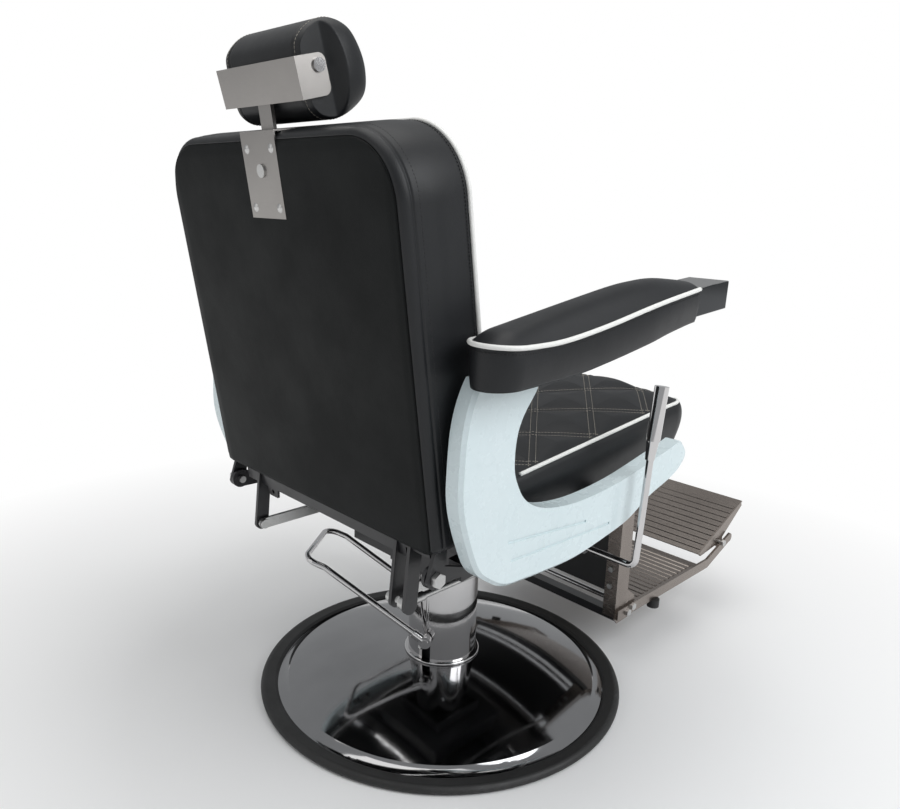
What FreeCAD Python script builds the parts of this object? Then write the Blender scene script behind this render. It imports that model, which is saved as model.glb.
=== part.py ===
import FreeCAD, Part
import Sketcher
import math
import os

# Hydraulic barber chair. The front of the chair is -Y, the sitter's right is -X, the floor is z = 0
# and the origin lies on the column's axis.

os.makedirs("parts", exist_ok=True)
doc = FreeCAD.newDocument("barber_chair")
V = FreeCAD.Vector
X_AXIS = V(1, 0, 0)
Y_AXIS = V(0, 1, 0)
Z_AXIS = V(0, 0, 1)

sheet = doc.addObject("Spreadsheet::Sheet", "Sizes")
sheet_rows = []


def size(alias, value):
    # One driving dimension: a plain number in the sheet with its own alias.
    sheet_rows.append(alias)
    cell = "B%d" % len(sheet_rows)
    sheet.set("A%d" % len(sheet_rows), alias)
    sheet.set(cell, str(value))
    sheet.setAlias(cell, alias)
    return float(value)


# Base
base_radius = size("base_radius", 330)
ring_width = size("ring_width", 30)
ring_height = size("ring_height", 14.5)
sheet_gauge = size("sheet_gauge", 2)
dome_height = size("dome_height", 56)
floor_plate_gauge = size("floor_plate_gauge", 3.8)
hub_height = size("hub_height", 14)
hub_radius = size("hub_radius", 95)
flange_radius = size("flange_radius", 88)
flange_gauge = size("flange_gauge", 12)
flange_bolt_circle = size("flange_bolt_circle", 70)
pump_radius = size("pump_radius", 45.8)
pump_top = size("pump_top", 200)
running_gap = size("running_gap", 0.05)
cover_radius = size("cover_radius", 62.5)
cover_gauge = size("cover_gauge", 2)
cover_top = size("cover_top", 226)
bead_height = size("bead_height", 6)

# Pedal
pedal_azimuth = size("pedal_azimuth", 38.3)
pedal_offset = size("pedal_offset", 20)
pedal_axis_height = size("pedal_axis_height", 104)
pedal_rise = size("pedal_rise", 33.9)
pedal_arm = size("pedal_arm", 221.6)
pedal_tip_rise = size("pedal_tip_rise", 18.8)
pedal_tip = size("pedal_tip", 39.6)
pedal_half_width = size("pedal_half_width", 71)
pedal_rod_radius = size("pedal_rod_radius", 5.5)
pedal_corner = size("pedal_corner", 24)
stud_radius = size("stud_radius", 6)
knuckle_radius = size("knuckle_radius", 11)
knuckle_width = size("knuckle_width", 14)
rocker_inner = size("rocker_inner", 51)
rocker_outer = size("rocker_outer", 59)
rocker_height = size("rocker_height", 16)

# Ram and carrier
ram_radius = size("ram_radius", 25)
ram_bottom = size("ram_bottom", 22)
ram_top = size("ram_top", 300)
washer_gauge = size("washer_gauge", 3)
housing_side = size("housing_side", 140)
housing_height = size("housing_height", 40)
housing_wall = size("housing_wall", 4)
hub_tube_radius = size("hub_tube_radius", 34)
carrier_width = size("carrier_width", 230)
carrier_depth = size("carrier_depth", 236)
carrier_gauge = size("carrier_gauge", 6)

# Seat
seat_height = size("seat_height", 495)
seat_tilt = size("seat_tilt", 6.9)
seat_half_width = size("seat_half_width", 259)
seat_front = size("seat_front", 347)
seat_rear = size("seat_rear", 138)
seat_boxing = size("seat_boxing", 80)
seat_crown = size("seat_crown", 24)
board_gauge = size("board_gauge", 15)
rail_height = size("rail_height", 28)
rail_width = size("rail_width", 25)
rail_half_span = size("rail_half_span", 250)
piping_radius = size("piping_radius", 2.6)
soft_gap = size("soft_gap", 0.3)
seam_gap = size("seam_gap", 0.05)

# Side frames and arms
frame_face = size("frame_face", 318)
frame_gauge = size("frame_gauge", 27)
frame_bevel = size("frame_bevel", 5)
pad_inner = size("pad_inner", 295)
pad_outer = size("pad_outer", 371)
pad_rear = size("pad_rear", 275)
pad_front = size("pad_front", 153)
arm_board_gauge = size("arm_board_gauge", 10)
cap_length = size("cap_length", 87)
cap_height = size("cap_height", 41)
cap_inner = size("cap_inner", 293)
cap_outer = size("cap_outer", 363)

# Back
back_foot_y = size("back_foot_y", 279)
back_foot_z = size("back_foot_z", 411)
back_tilt = size("back_tilt", 9.34)
back_length = size("back_length", 535)
back_half_low = size("back_half_low", 275)
back_half_top = size("back_half_top", 281)
back_corner = size("back_corner", 88)
back_thick_low = size("back_thick_low", 141)
back_thick_top = size("back_thick_top", 114)
panel_gauge = size("panel_gauge", 10)
pocket_depth = size("pocket_depth", 34)
tube_side = size("tube_side", 20)
back_pivot_y = size("back_pivot_y", 267)
back_pivot_z = size("back_pivot_z", 374)
hinge_bar_gauge = size("hinge_bar_gauge", 6)
lever_drop = size("lever_drop", 60)

# Headrest
guide_half_width = size("guide_half_width", 42)
guide_length = size("guide_length", 110)
guide_gauge = size("guide_gauge", 2)
post_width = size("post_width", 30)
post_gauge = size("post_gauge", 5)
channel_wall = size("channel_wall", 2)
bracket_half_width = size("bracket_half_width", 96)
bracket_height = size("bracket_height", 50)
bracket_gauge = size("bracket_gauge", 2.5)
ear_depth = size("ear_depth", 42)
head_tilt = size("head_tilt", 15.4)
head_half_width = size("head_half_width", 112)

# Footrest
leg_half_width = size("leg_half_width", 195)
leg_gauge = size("leg_gauge", 3)
leg_pivot_y = size("leg_pivot_y", 284)
leg_pivot_z = size("leg_pivot_z", 384)
leg_rear_y = size("leg_rear_y", 266)
leg_bottom_z = size("leg_bottom_z", 92)
tread_gauge = size("tread_gauge", 3)
rib_height = size("rib_height", 1.2)
rib_pitch = size("rib_pitch", 16)
turn_pivot_y = size("turn_pivot_y", 657)
turn_pivot_z = size("turn_pivot_z", 153)
turn_tread_length = size("turn_tread_length", 190)
turn_tread_rise = size("turn_tread_rise", 25.5)

# Linkage and lever
link_x = size("link_x", 175)
link_gauge = size("link_gauge", 6)
strut_x = size("strut_x", 201)
strut_radius = size("strut_radius", 12)
strut_rod_radius = size("strut_rod_radius", 5)
strut_front_y = size("strut_front_y", 60)
lever_x = size("lever_x", 343)
lever_y = size("lever_y", 82)
lever_z = size("lever_z", 318)
lever_rod_radius = size("lever_rod_radius", 5.5)
grip_radius = size("grip_radius", 11)
play = size("play", 1)

doc.recompute()

nodes = []


def keep(obj):
    # Marks an object as one sub-part of the chair.
    nodes.append(obj)
    return obj


def plane_of(body, role):
    for feature in body.Origin.OriginFeatures:
        if feature.Role == role:
            return feature


def sketch_on(body, role, height=0.0):
    sketch = body.newObject("Sketcher::SketchObject", body.Name + "_sketch")
    sketch.AttachmentSupport = [(plane_of(body, role), "")]
    sketch.MapMode = "FlatFace"
    sketch.AttachmentOffset = FreeCAD.Placement(V(0, 0, height), FreeCAD.Rotation())
    return sketch


def outline(sketch, path):
    # A closed outline: each step is an end point, or a middle point and an end point for an arc.
    start = path[0]
    here = start
    for step in path[1:] + [start]:
        if isinstance(step[0], tuple):
            middle, there = step
            curve = Part.Arc(V(here[0], here[1], 0), V(middle[0], middle[1], 0), V(there[0], there[1], 0))
        else:
            there = step
            if math.dist(here, there) < 1e-6:
                continue
            curve = Part.LineSegment(V(here[0], here[1], 0), V(there[0], there[1], 0))
        sketch.addGeometry(curve, False)
        here = there


def circle(sketch, x, y, radius, radius_cell=None):
    index = sketch.addGeometry(Part.Circle(V(x, y, 0), Z_AXIS, radius), False)
    if radius_cell:
        constraint = sketch.addConstraint(Sketcher.Constraint("Radius", index, radius))
        sketch.setExpression("Constraints[%d]" % constraint, radius_cell)


def padded_body(label, role, path, length, height=0.0, holes=(), cell=None):
    # A flat outline on an origin plane, padded along the plane's normal.
    body = doc.addObject("PartDesign::Body", label)
    sketch = sketch_on(body, role, height)
    outline(sketch, path)
    for hole in holes:
        circle(sketch, *hole)
    pad = body.newObject("PartDesign::Pad", label + "_pad")
    pad.Profile = sketch
    pad.Length = length
    if cell:
        pad.setExpression("Length", cell)
    body.Tip = pad
    return body


def turned_body(label, path):
    # An outline of (radius, height) turned about the column's axis.
    body = doc.addObject("PartDesign::Body", label)
    sketch = sketch_on(body, "XZ_Plane")
    outline(sketch, path)
    turn = body.newObject("PartDesign::Revolution", label + "_turn")
    turn.Profile = sketch
    turn.ReferenceAxis = (sketch, ["V_Axis"])
    turn.Angle = 360
    body.Tip = turn
    return body


def turn_to(direction):
    return FreeCAD.Rotation(Z_AXIS, V(*direction))


def cylinder(label, radius, length, foot, direction=(0, 0, 1), radius_cell=None, length_cell=None):
    rod = doc.addObject("Part::Cylinder", label)
    rod.Radius = radius
    rod.Height = length
    if radius_cell:
        rod.setExpression("Radius", radius_cell)
    if length_cell:
        rod.setExpression("Height", length_cell)
    rod.Placement = FreeCAD.Placement(V(*foot), turn_to(direction))
    return rod


def box(label, low, high, placement=None):
    block = doc.addObject("Part::Box", label)
    block.Length = high[0] - low[0]
    block.Width = high[1] - low[1]
    block.Height = high[2] - low[2]
    corner = FreeCAD.Placement(V(*low), FreeCAD.Rotation())
    block.Placement = placement.multiply(corner) if placement else corner
    return block


def fused(label, pieces):
    whole = doc.addObject("Part::MultiFuse", label)
    whole.Shapes = pieces
    whole.Refine = True
    return whole


def cut(label, base, tool):
    left = doc.addObject("Part::Cut", label)
    left.Base = base
    left.Tool = tool
    left.Refine = True
    return left


def shaped(label, shape):
    feature = doc.addObject("Part::Feature", label)
    feature.Shape = shape
    return feature


def several(label, shapes):
    # Separate like pieces that share one node.
    return shaped(label, Part.makeCompound(shapes))


def face_of(points, plane="XY", height=0.0):
    # A flat face from the same kind of path as outline(), placed in space.
    def place(point):
        if plane == "YZ":
            return V(height, point[0], point[1])
        if plane == "XZ":
            return V(point[0], height, point[1])
        return V(point[0], point[1], height)
    edges = []
    here = points[0]
    for step in points[1:] + [points[0]]:
        if isinstance(step[0], tuple):
            middle, there = step
            edges.append(Part.Arc(place(here), place(middle), place(there)).toShape())
        else:
            there = step
            if math.dist(here, there) < 1e-6:
                continue
            edges.append(Part.LineSegment(place(here), place(there)).toShape())
        here = there
    return Part.Face(Part.Wire(edges))


def slab(points, plane, height, thickness):
    face = face_of(points, plane, height)
    along = {"XY": Z_AXIS, "YZ": X_AXIS, "XZ": Y_AXIS}[plane]
    return face.extrude(along * thickness)


def bar(foot, direction, radius, length):
    return Part.makeCylinder(radius, length, V(*foot), V(*direction))


def hex_prism(centre, direction, across, height):
    points = []
    for corner in range(6):
        angle = math.radians(60 * corner)
        points.append((across / math.sqrt(3) * math.cos(angle), across / math.sqrt(3) * math.sin(angle)))
    prism = slab(points, "XY", 0.0, height)
    prism.Placement = FreeCAD.Placement(V(*centre), turn_to(direction))
    return prism


def hex_bolt(seat, direction, radius, grip, across, head):
    # Head above the seat point, shank below it against the given direction.
    shank = bar(seat, [-d for d in direction], radius, grip)
    return hex_prism(seat, direction, across, head).fuse(shank).removeSplitter()


def rod_along(points, radius, bend):
    # A round rod along a bent line, each corner rounded to the bend radius.
    edges = []
    here = V(*points[0])
    for index in range(1, len(points) - 1):
        corner = V(*points[index])
        back = (here - corner).normalize()
        ahead = (V(*points[index + 1]) - corner).normalize()
        half = math.acos(max(-1.0, min(1.0, back.dot(ahead)))) / 2
        reach = bend / math.tan(half)
        start = corner + back * reach
        end = corner + ahead * reach
        centre = corner + (back + ahead).normalize() * (bend / math.sin(half))
        middle = centre + (corner - centre).normalize() * bend
        edges.append(Part.LineSegment(here, start).toShape())
        edges.append(Part.Arc(start, middle, end).toShape())
        here = end
    edges.append(Part.LineSegment(here, V(*points[-1])).toShape())
    path = Part.Wire(edges)
    first = V(*points[0])
    heading = (V(*points[1]) - first).normalize()
    profile = Part.Wire([Part.Circle(first, heading, radius).toShape()])
    return path.makePipeShell([profile], True, True)


def mirrored(shape):
    return shape.mirror(V(0, 0, 0), X_AXIS)


def both_sides(shape):
    return [shape, mirrored(shape)]


def rounded_outline(x0, x1, y0, y1, radii):
    # A rectangle with four corner radii: front left, front right, rear right, rear left.
    a, b, c, d = radii
    k = 1 - math.sqrt(0.5)
    return [
        (x0 + a, y0),
        (x1 - b, y0), ((x1 - b * k, y0 + b * k), (x1, y0 + b)),
        (x1, y1 - c), ((x1 - c * k, y1 - c * k), (x1 - c, y1)),
        (x0 + d, y1), ((x0 + d * k, y1 - d * k), (x0, y1 - d)),
        (x0, y0 + a), ((x0 + a * k, y0 + a * k), (x0 + a, y0)),
    ]


def edges_where(shape, test):
    return [edge for edge in shape.Edges if test(edge)]


# ---- placements shared by several sub-parts

seat_frame_place = FreeCAD.Placement(V(0, 0, seat_height), FreeCAD.Rotation(X_AXIS, -seat_tilt))
back_place = FreeCAD.Placement(V(0, back_foot_y, back_foot_z), FreeCAD.Rotation(X_AXIS, -back_tilt))


def seat_point(x, v, w):
    # A point given in the tilted seat frame: v runs rearward, w away from the seat.
    return seat_frame_place.multVec(V(x, v, w))


def back_point(x, n, u):
    # A point given in the back's frame: n runs rearward out of the back, u up along it.
    return back_place.multVec(V(x, n, u))


def back_local(y, z):
    point = back_place.inverse().multVec(V(0, y, z))
    return point.y, point.z


# ---- base

def make_base_ring():
    inner = base_radius - ring_width
    ledge = 8.0
    grip = 4.3
    plate_top = sheet_gauge + floor_plate_gauge
    slot_top = plate_top + sheet_gauge + running_gap * 2
    keep(turned_body("base_ring", [
        (inner - ledge - 2, 0), (base_radius - 8, 0),
        ((base_radius - 2, 2.5), (base_radius, 8)),
        ((base_radius - 3, 12.6), (base_radius - 10, ring_height)),
        (inner + 5, ring_height - 2), (inner, ring_height - 5),
        (inner, slot_top), (inner + grip, slot_top), (inner + grip, plate_top),
        (inner + 0.2, plate_top), (inner + 0.2, sheet_gauge), (inner - ledge - 2, sheet_gauge),
    ]))


def make_base_dome():
    inner = base_radius - ring_width
    rim_top = sheet_gauge * 2 + floor_plate_gauge
    low = rim_top - sheet_gauge
    drop = sheet_gauge
    crown = dome_height
    foot = inner - 19
    keep(turned_body("base_dome", [
        (inner + 4, low), (inner + 4, rim_top), (inner - 2, rim_top),
        ((inner - 11, rim_top + 3.2), (foot, rim_top + 9)),
        ((foot * 0.62, rim_top + (crown - rim_top) * 0.72), (cover_radius + 7, crown)),
        (pump_radius + 4, crown), (pump_radius + 4, crown - drop), (cover_radius + 7, crown - drop),
        ((foot * 0.62, rim_top + (crown - rim_top) * 0.72 - drop), (foot, rim_top + 9 - drop)),
        ((inner - 11, rim_top + 3.2 - drop), (inner - 2, low)),
    ]))


def make_floor_plate():
    inner = base_radius - ring_width
    low = sheet_gauge
    top = low + floor_plate_gauge
    body = turned_body("floor_plate", [
        (0, 0), (hub_radius, 0), (hub_radius, low), (inner + 0.2, low), (inner + 0.2, top),
        (hub_radius, top), (hub_radius, hub_height), (0, hub_height),
    ])
    bolt_holes(body, hub_height, 12)
    keep(body)


def bolt_holes(body, height, depth):
    # Six plain holes on the bolt circle, cut down from the given height.
    before = body.Tip
    sketch = sketch_on(body, "XY_Plane", height)
    circle(sketch, flange_bolt_circle, 0, 5)
    pocket = body.newObject("PartDesign::Pocket", body.Name + "_hole")
    pocket.Profile = sketch
    pocket.Length = depth
    pocket.Reversed = False
    pattern = body.newObject("PartDesign::PolarPattern", body.Name + "_holes")
    pattern.Originals = [pocket]
    pattern.Axis = (sketch, ["N_Axis"])
    pattern.Angle = 360
    pattern.Occurrences = 6
    body.Tip = pattern
    doc.recompute()
    if body.Shape.Volume >= before.Shape.Volume - 1:
        raise RuntimeError("bolt holes did not cut " + body.Name)


def make_pump_body():
    gland = 10.0
    body = turned_body("pump_body", [
        (0, hub_height), (flange_radius, hub_height), (flange_radius, hub_height + flange_gauge),
        (pump_radius + 6, hub_height + flange_gauge),
        ((pump_radius + 1.8, hub_height + flange_gauge + 1.8),
         (pump_radius, hub_height + flange_gauge + 6)),
        (pump_radius, pump_top), (pump_radius - 6, pump_top), (pump_radius - 6, pump_top + gland),
        (ram_radius + running_gap, pump_top + gland), (ram_radius + running_gap, ram_bottom - 2),
        (0, ram_bottom - 2),
    ])
    bolt_holes(body, hub_height + flange_gauge, flange_gauge)
    across = stud_line(24.5)
    reach = pump_radius
    holes = [cylinder("stud_hole_a", stud_radius + running_gap, reach, across[0], across[1],
                      "Sizes.stud_radius + Sizes.running_gap"),
             cylinder("stud_hole_b", stud_radius + running_gap, reach, across[2], across[3],
                      "Sizes.stud_radius + Sizes.running_gap")]
    whole = cut("pump_cylinder", body, fused("stud_holes", holes))
    keep(whole)


def make_flange_bolts():
    bolts = []
    for index in range(6):
        angle = math.radians(60 * index)
        seat = (flange_bolt_circle * math.cos(angle), flange_bolt_circle * math.sin(angle),
                hub_height + flange_gauge)
        bolts.append(hex_bolt(seat, (0, 0, 1), 5, flange_gauge + 10, 16, 7))
    keep(several("flange_bolts", bolts))


def pedal_radial():
    angle = math.radians(pedal_azimuth)
    return V(math.cos(angle), math.sin(angle), 0)


def pedal_axis():
    angle = math.radians(pedal_azimuth)
    return V(-math.sin(angle), math.cos(angle), 0)


def pedal_centre():
    return pedal_radial() * pedal_offset + Z_AXIS * pedal_axis_height


def pedal_point(out, up, across):
    # A point measured from the pedal's axis: outward, upward and along the axis.
    return pedal_centre() + pedal_radial() * out + Z_AXIS * up + pedal_axis() * across


def stud_line(start):
    # Foot and direction of the two studs, each starting this far from the middle.
    a = pedal_axis()
    b = a * -1
    first = pedal_centre() + a * start
    second = pedal_centre() + b * start
    return tuple(first), tuple(a), tuple(second), tuple(b)


def make_column_cover():
    rolled = 3.0
    tube = cylinder("cover_tube", cover_radius, cover_top - dome_height, (0, 0, dome_height),
                    radius_cell="Sizes.cover_radius", length_cell="Sizes.cover_top - Sizes.dome_height")
    seam_angle = math.radians(pedal_azimuth + 72)
    seam_low = pedal_axis_height + stud_radius + 12
    seam = cylinder("cover_seam", rolled, cover_top - seam_low,
                    ((cover_radius - 1.4) * math.cos(seam_angle),
                     (cover_radius - 1.4) * math.sin(seam_angle), seam_low))
    bore = cylinder("cover_bore", cover_radius - cover_gauge, cover_top, (0, 0, dome_height - 5),
                    radius_cell="Sizes.cover_radius - Sizes.cover_gauge")
    slots = []
    half = stud_radius + 2
    for side in (1, -1):
        start = pedal_centre() + pedal_axis() * (side * 40)
        arch = bar(tuple(start), tuple(pedal_axis() * side), half, 40)
        low = dome_height + bead_height - 2
        turn = FreeCAD.Rotation(Z_AXIS, pedal_azimuth)
        leg = Part.makeBox(2 * half, 40, pedal_axis_height - low)
        leg.Placement = FreeCAD.Placement(V(0, 0, 0), FreeCAD.Rotation())
        leg.translate(V(-half, 0 if side > 0 else -40, 0))
        leg.Placement = FreeCAD.Placement(V(start.x, start.y, low), turn).multiply(leg.Placement)
        slots.append(arch.fuse(leg))
    slot = several("cover_slots", slots)
    bead = column_bead()
    keep(cut("column_cover", fused("cover_shell", [tube, seam, bead]), fused("cover_tools", [bore, slot])))


def column_bead():
    # The rolled foot of the cover.
    low = dome_height
    r = cover_radius - cover_gauge / 2
    edge = cover_radius
    return turned_body("column_bead", [
        (r, low), (edge + 5, low), ((edge + 6.6, low + 2.6), (edge + 4.4, low + bead_height - 0.4)),
        (edge + 2, low + bead_height), (r, low + bead_height),
    ])


def make_dust_cap():
    r = cover_radius - cover_gauge
    keep(turned_body("dust_cap", [
        (ram_radius + 1, cover_top - 6), (r, cover_top - 6), (r, cover_top),
        ((r - 6, cover_top + 1.2), (r - 16, cover_top + 1.4)),
        (ram_radius + 4, cover_top + 1.4), (ram_radius + 1, cover_top - 1),
    ]))


# ---- pedal

def pedal_line():
    a = math.radians(pedal_rise)
    b = math.radians(pedal_tip_rise)
    kink = (pedal_arm * math.cos(a), pedal_arm * math.sin(a))
    tip = (kink[0] + pedal_tip * math.cos(b), kink[1] + pedal_tip * math.sin(b))
    return kink, tip


def make_pedal():
    a = math.radians(pedal_rise)
    kink, tip = pedal_line()
    start = knuckle_radius + 2
    w = pedal_half_width
    first = (start * math.cos(a), start * math.sin(a))
    points = [pedal_point(first[0], first[1], w), pedal_point(kink[0], kink[1], w),
              pedal_point(tip[0], tip[1], w), pedal_point(tip[0], tip[1], -w),
              pedal_point(kink[0], kink[1], -w), pedal_point(first[0], first[1], -w)]
    keep(shaped("pedal_rod", rod_along([tuple(p) for p in points], pedal_rod_radius, pedal_corner)))

    along = pedal_radial() * math.cos(a) + Z_AXIS * math.sin(a)
    knuckles = []
    studs = []
    screws = []
    for side in (1, -1):
        inner = pedal_point(0, 0, side * (w - knuckle_width / 2))
        axis = pedal_axis() * side
        barrel = bar(tuple(inner), tuple(axis), knuckle_radius, knuckle_width)
        middle = pedal_point(0, 0, side * w)
        socket = bar(tuple(middle), tuple(along), pedal_rod_radius + 2.5, start + 14)
        rod_bore = bar(tuple(middle + along * start), tuple(along), pedal_rod_radius, 30)
        stud_bore = bar(tuple(inner - axis), tuple(axis), stud_radius, knuckle_width + 2)
        side_out = along.cross(axis).normalize()
        if side_out.z > 0:
            side_out = side_out * -1
        screw_bore = bar(tuple(middle), tuple(side_out), 2.5, knuckle_radius + 2)
        knuckle = barrel.fuse(socket).cut(rod_bore).cut(stud_bore).cut(screw_bore)
        knuckles.append(knuckle.removeSplitter())
        stud_start = pedal_centre() + axis * 24.5
        studs.append(bar(tuple(stud_start), tuple(axis), stud_radius,
                         w + knuckle_width / 2 + 2 - 24.5))
        seat = middle + side_out * knuckle_radius
        screws.append(hex_bolt(tuple(seat), tuple(side_out), 2.5, knuckle_radius - stud_radius, 8, 5))
    keep(several("pedal_knuckles", knuckles))
    keep(several("pedal_studs", studs))
    keep(several("pedal_screws", screws))


def make_rocker():
    low = pedal_axis_height - rocker_height / 2
    ring = Part.makeCylinder(rocker_outer, rocker_height, V(0, 0, low))
    ring = ring.cut(Part.makeCylinder(rocker_inner, rocker_height + 2, V(0, 0, low - 1)))
    keep_side = Part.makeBox(200, 300, 60, V(pedal_offset - 9, -150, low - 10))
    keep_side.rotate(V(0, 0, 0), Z_AXIS, pedal_azimuth)
    ring = ring.common(keep_side)
    for side in (1, -1):
        start = pedal_centre()
        ring = ring.cut(bar(tuple(start), tuple(pedal_axis() * side), stud_radius, 90))
    keep(shaped("pump_rocker", ring.removeSplitter()))


# ---- ram and carrier

def make_ram():
    keep(cylinder("ram", ram_radius, ram_top - ram_bottom, (0, 0, ram_bottom),
                  radius_cell="Sizes.ram_radius", length_cell="Sizes.ram_top - Sizes.ram_bottom"))
    washer = cylinder("washer_disc", ram_radius - 0.5, washer_gauge, (0, 0, ram_top),
                      length_cell="Sizes.washer_gauge")
    hole = cylinder("washer_hole", 6, washer_gauge, (0, 0, ram_top),
                    length_cell="Sizes.washer_gauge")
    keep(cut("thrust_washer", washer, hole))


def carrier_top(y):
    # Height of the underside of the seat frame over the carrier at this depth.
    low = -seat_boxing - board_gauge - rail_height
    tilt = math.radians(seat_tilt)
    v = (y - low * math.sin(tilt)) / math.cos(tilt)
    return seat_height - v * math.sin(tilt) + low * math.cos(tilt)


def make_carrier():
    low = cover_top + 2
    top = low + housing_height
    half = housing_side / 2
    shell = box("housing_block", (-half, -half, low), (half, half, top))
    room = box("housing_room", (-half + housing_wall, -half + housing_wall, low - 1),
               (half - housing_wall, half - housing_wall, top - carrier_gauge))
    bore = cylinder("housing_bore", ram_radius + running_gap + 9, housing_height + 4, (0, 0, low - 2),
                    radius_cell="Sizes.ram_radius + Sizes.running_gap + 9")
    housing = cut("swivel_housing", shell, fused("housing_tools", [room, bore]))

    ceiling = ram_top + washer_gauge + running_gap
    outer = ram_radius + running_gap + 9
    hub = turned_body("hub_tube", [
        (ram_radius + running_gap, top - carrier_gauge - 14), (outer, top - carrier_gauge - 14),
        (outer, ceiling + 6), (0, ceiling + 6), (0, ceiling), (ram_radius + running_gap, ceiling),
    ])

    plate = box("carrier_floor", (-carrier_width / 2, -carrier_depth / 2, top),
                (carrier_width / 2, carrier_depth / 2, top + carrier_gauge))
    hole = cylinder("carrier_hole", outer, carrier_gauge + 4, (0, 0, top - 2))
    front = -carrier_depth / 2
    rear = carrier_depth / 2
    cheek = [(front, top + carrier_gauge), (rear, top + carrier_gauge), (rear, carrier_top(rear)),
             (front, carrier_top(front))]
    inner = carrier_width / 2 - carrier_gauge
    cheeks = several("carrier_cheeks", [slab(cheek, "YZ", inner, carrier_gauge),
                                        slab(cheek, "YZ", -inner - carrier_gauge, carrier_gauge)])
    ends = []
    for y, lift in ((front, 0), (rear - carrier_gauge, 0)):
        high = min(carrier_top(y), carrier_top(y + carrier_gauge))
        ends.append(Part.makeBox(2 * inner, carrier_gauge, high - top - carrier_gauge,
                                 V(-inner, y, top + carrier_gauge)))
    plates = cut("carrier_shell", fused("carrier_plates", [plate, cheeks, several("carrier_ends", ends)]), hole)
    keep(fused("carrier_box", [plates, housing, hub]))


def frame_w():
    # Lower and upper height of the seat frame's tubes in the seat's own frame.
    high = -seat_boxing - board_gauge
    return high - rail_height, high


def make_seat_frame():
    low, high = frame_w()
    rails = []
    front = -seat_front + 45
    rear = 222.0
    for side in (1, -1):
        x0 = rail_half_span - rail_width
        rails.append(box("rail_%d" % (side > 0), (x0 if side > 0 else -rail_half_span, front, low),
                         (rail_half_span if side > 0 else -x0, rear, high), seat_frame_place))
    for index, v in enumerate((front, -114, 86, 146)):
        rails.append(box("cross_%d" % index, (-rail_half_span + 5, v, low),
                         (rail_half_span - 5, v + 28, high), seat_frame_place))
    face = frame_face - frame_gauge
    for index, (v, side) in enumerate(((-99, 1), (-99, -1), (86, 1), (86, -1))):
        x0 = rail_half_span - 5
        a = (x0 if side > 0 else -face, v, low + 3)
        b = (face if side > 0 else -x0, v + 24, high - 3)
        rails.append(box("outrigger_%d" % index, a, b, seat_frame_place))
        fa = (face - 6 if side > 0 else -face, v - 18, low + 3)
        fb = (face if side > 0 else -face + 6, v + 42, high - 3)
        rails.append(box("flange_%d" % index, fa, fb, seat_frame_place))
    hinge_plates, hinge_bolts = hinge_lugs()
    leg_plates, leg_bolts = leg_lugs()
    lugs = hinge_plates + leg_plates + lever_lugs() + strut_lugs()
    rails.append(shaped("frame_lugs", lugs[0].fuse(lugs[1:])))
    keep(several("pivot_bolts", hinge_bolts + leg_bolts))
    frame = fused("frame_tubes", rails)
    holes = []
    for seat, direction in frame_bolt_seats():
        holes.append(bar(tuple(seat + direction), tuple(direction * -1), 4, 12))
    keep(cut("seat_frame", frame, several("frame_bolt_holes", holes)))


def frame_bolt_seats():
    # Seats of the bolts that hold the side frames, on the flanges' inner faces.
    low, high = frame_w()
    w = (low + high) / 2
    seats = []
    for side in (1, -1):
        for v in (-99, 86):
            for shift in (-10, 34):
                point = seat_point(side * (frame_face - frame_gauge - 6), v + shift, w)
                seats.append((point, V(-side, 0, 0)))
    return seats


def make_frame_bolts():
    bolts = [hex_bolt(tuple(seat), tuple(direction), 4, 20, 13, 5) for seat, direction in frame_bolt_seats()]
    keep(several("frame_bolts", bolts))


def make_seat_board():
    base = rounded_outline(-seat_half_width + 14, seat_half_width - 14, -seat_front + 16,
                           seat_rear - 14, (30, 30, 12, 12))
    body = padded_body("seat_board", "XY_Plane", base, board_gauge, -seat_boxing - board_gauge,
                       cell="Sizes.board_gauge")
    body.Placement = seat_frame_place
    keep(body)


def arch_path(x0, x1, low, side_high, crown, draw):
    # An upright outline: drawn-in sides and an arched top.
    middle = (x0 + x1) / 2
    return [(x0 + draw, low), (x1 - draw, low),
            ((x1 - draw * 0.1, low + (side_high - low) * 0.55), (x1 - draw * 0.5, side_high)),
            ((middle, side_high + crown), (x0 + draw * 0.5, side_high)),
            ((x0 + draw * 0.1, low + (side_high - low) * 0.55), (x0 + draw, low))]


def make_seat_cushion():
    x = seat_half_width
    low = -seat_boxing
    plan = slab(rounded_outline(-x, x, -seat_front, seat_rear, (46, 46, 22, 22)), "XY", low - 1,
                seat_boxing + 60)
    across = slab(arch_path(-x - 1, x + 1, low, 0.0, seat_crown, 9), "XZ", -seat_front - 5,
                  seat_front + seat_rear + 10)
    f = -seat_front
    r = seat_rear
    profile = [(f + 12, low), (r - 6, low), (r, 2),
               (((f + r) / 2 + 40, seat_crown + 6), (f + 70, seat_crown - 4)),
               ((f + 14, seat_crown - 22), (f, -16)), ((f + 1.5, low + 30), (f + 12, low))]
    along = slab(profile, "YZ", -x - 5, 2 * x + 10)
    cushion = plan.common(across).common(along).removeSplitter()
    for groove in both_sides(seat_cord(piping_radius + seam_gap)):
        cushion = cushion.cut(groove)
    feature = shaped("seat_cushion", cushion)
    feature.Placement = seat_frame_place
    keep(feature)


def soften(shape, radius, test):
    # Rounds the sharp edges that pass the test.
    edges = [e for e in shape.Edges if test(e) and e.Length > 1 and not is_smooth(shape, e)]
    return shape.makeFillet(radius, edges)


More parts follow.
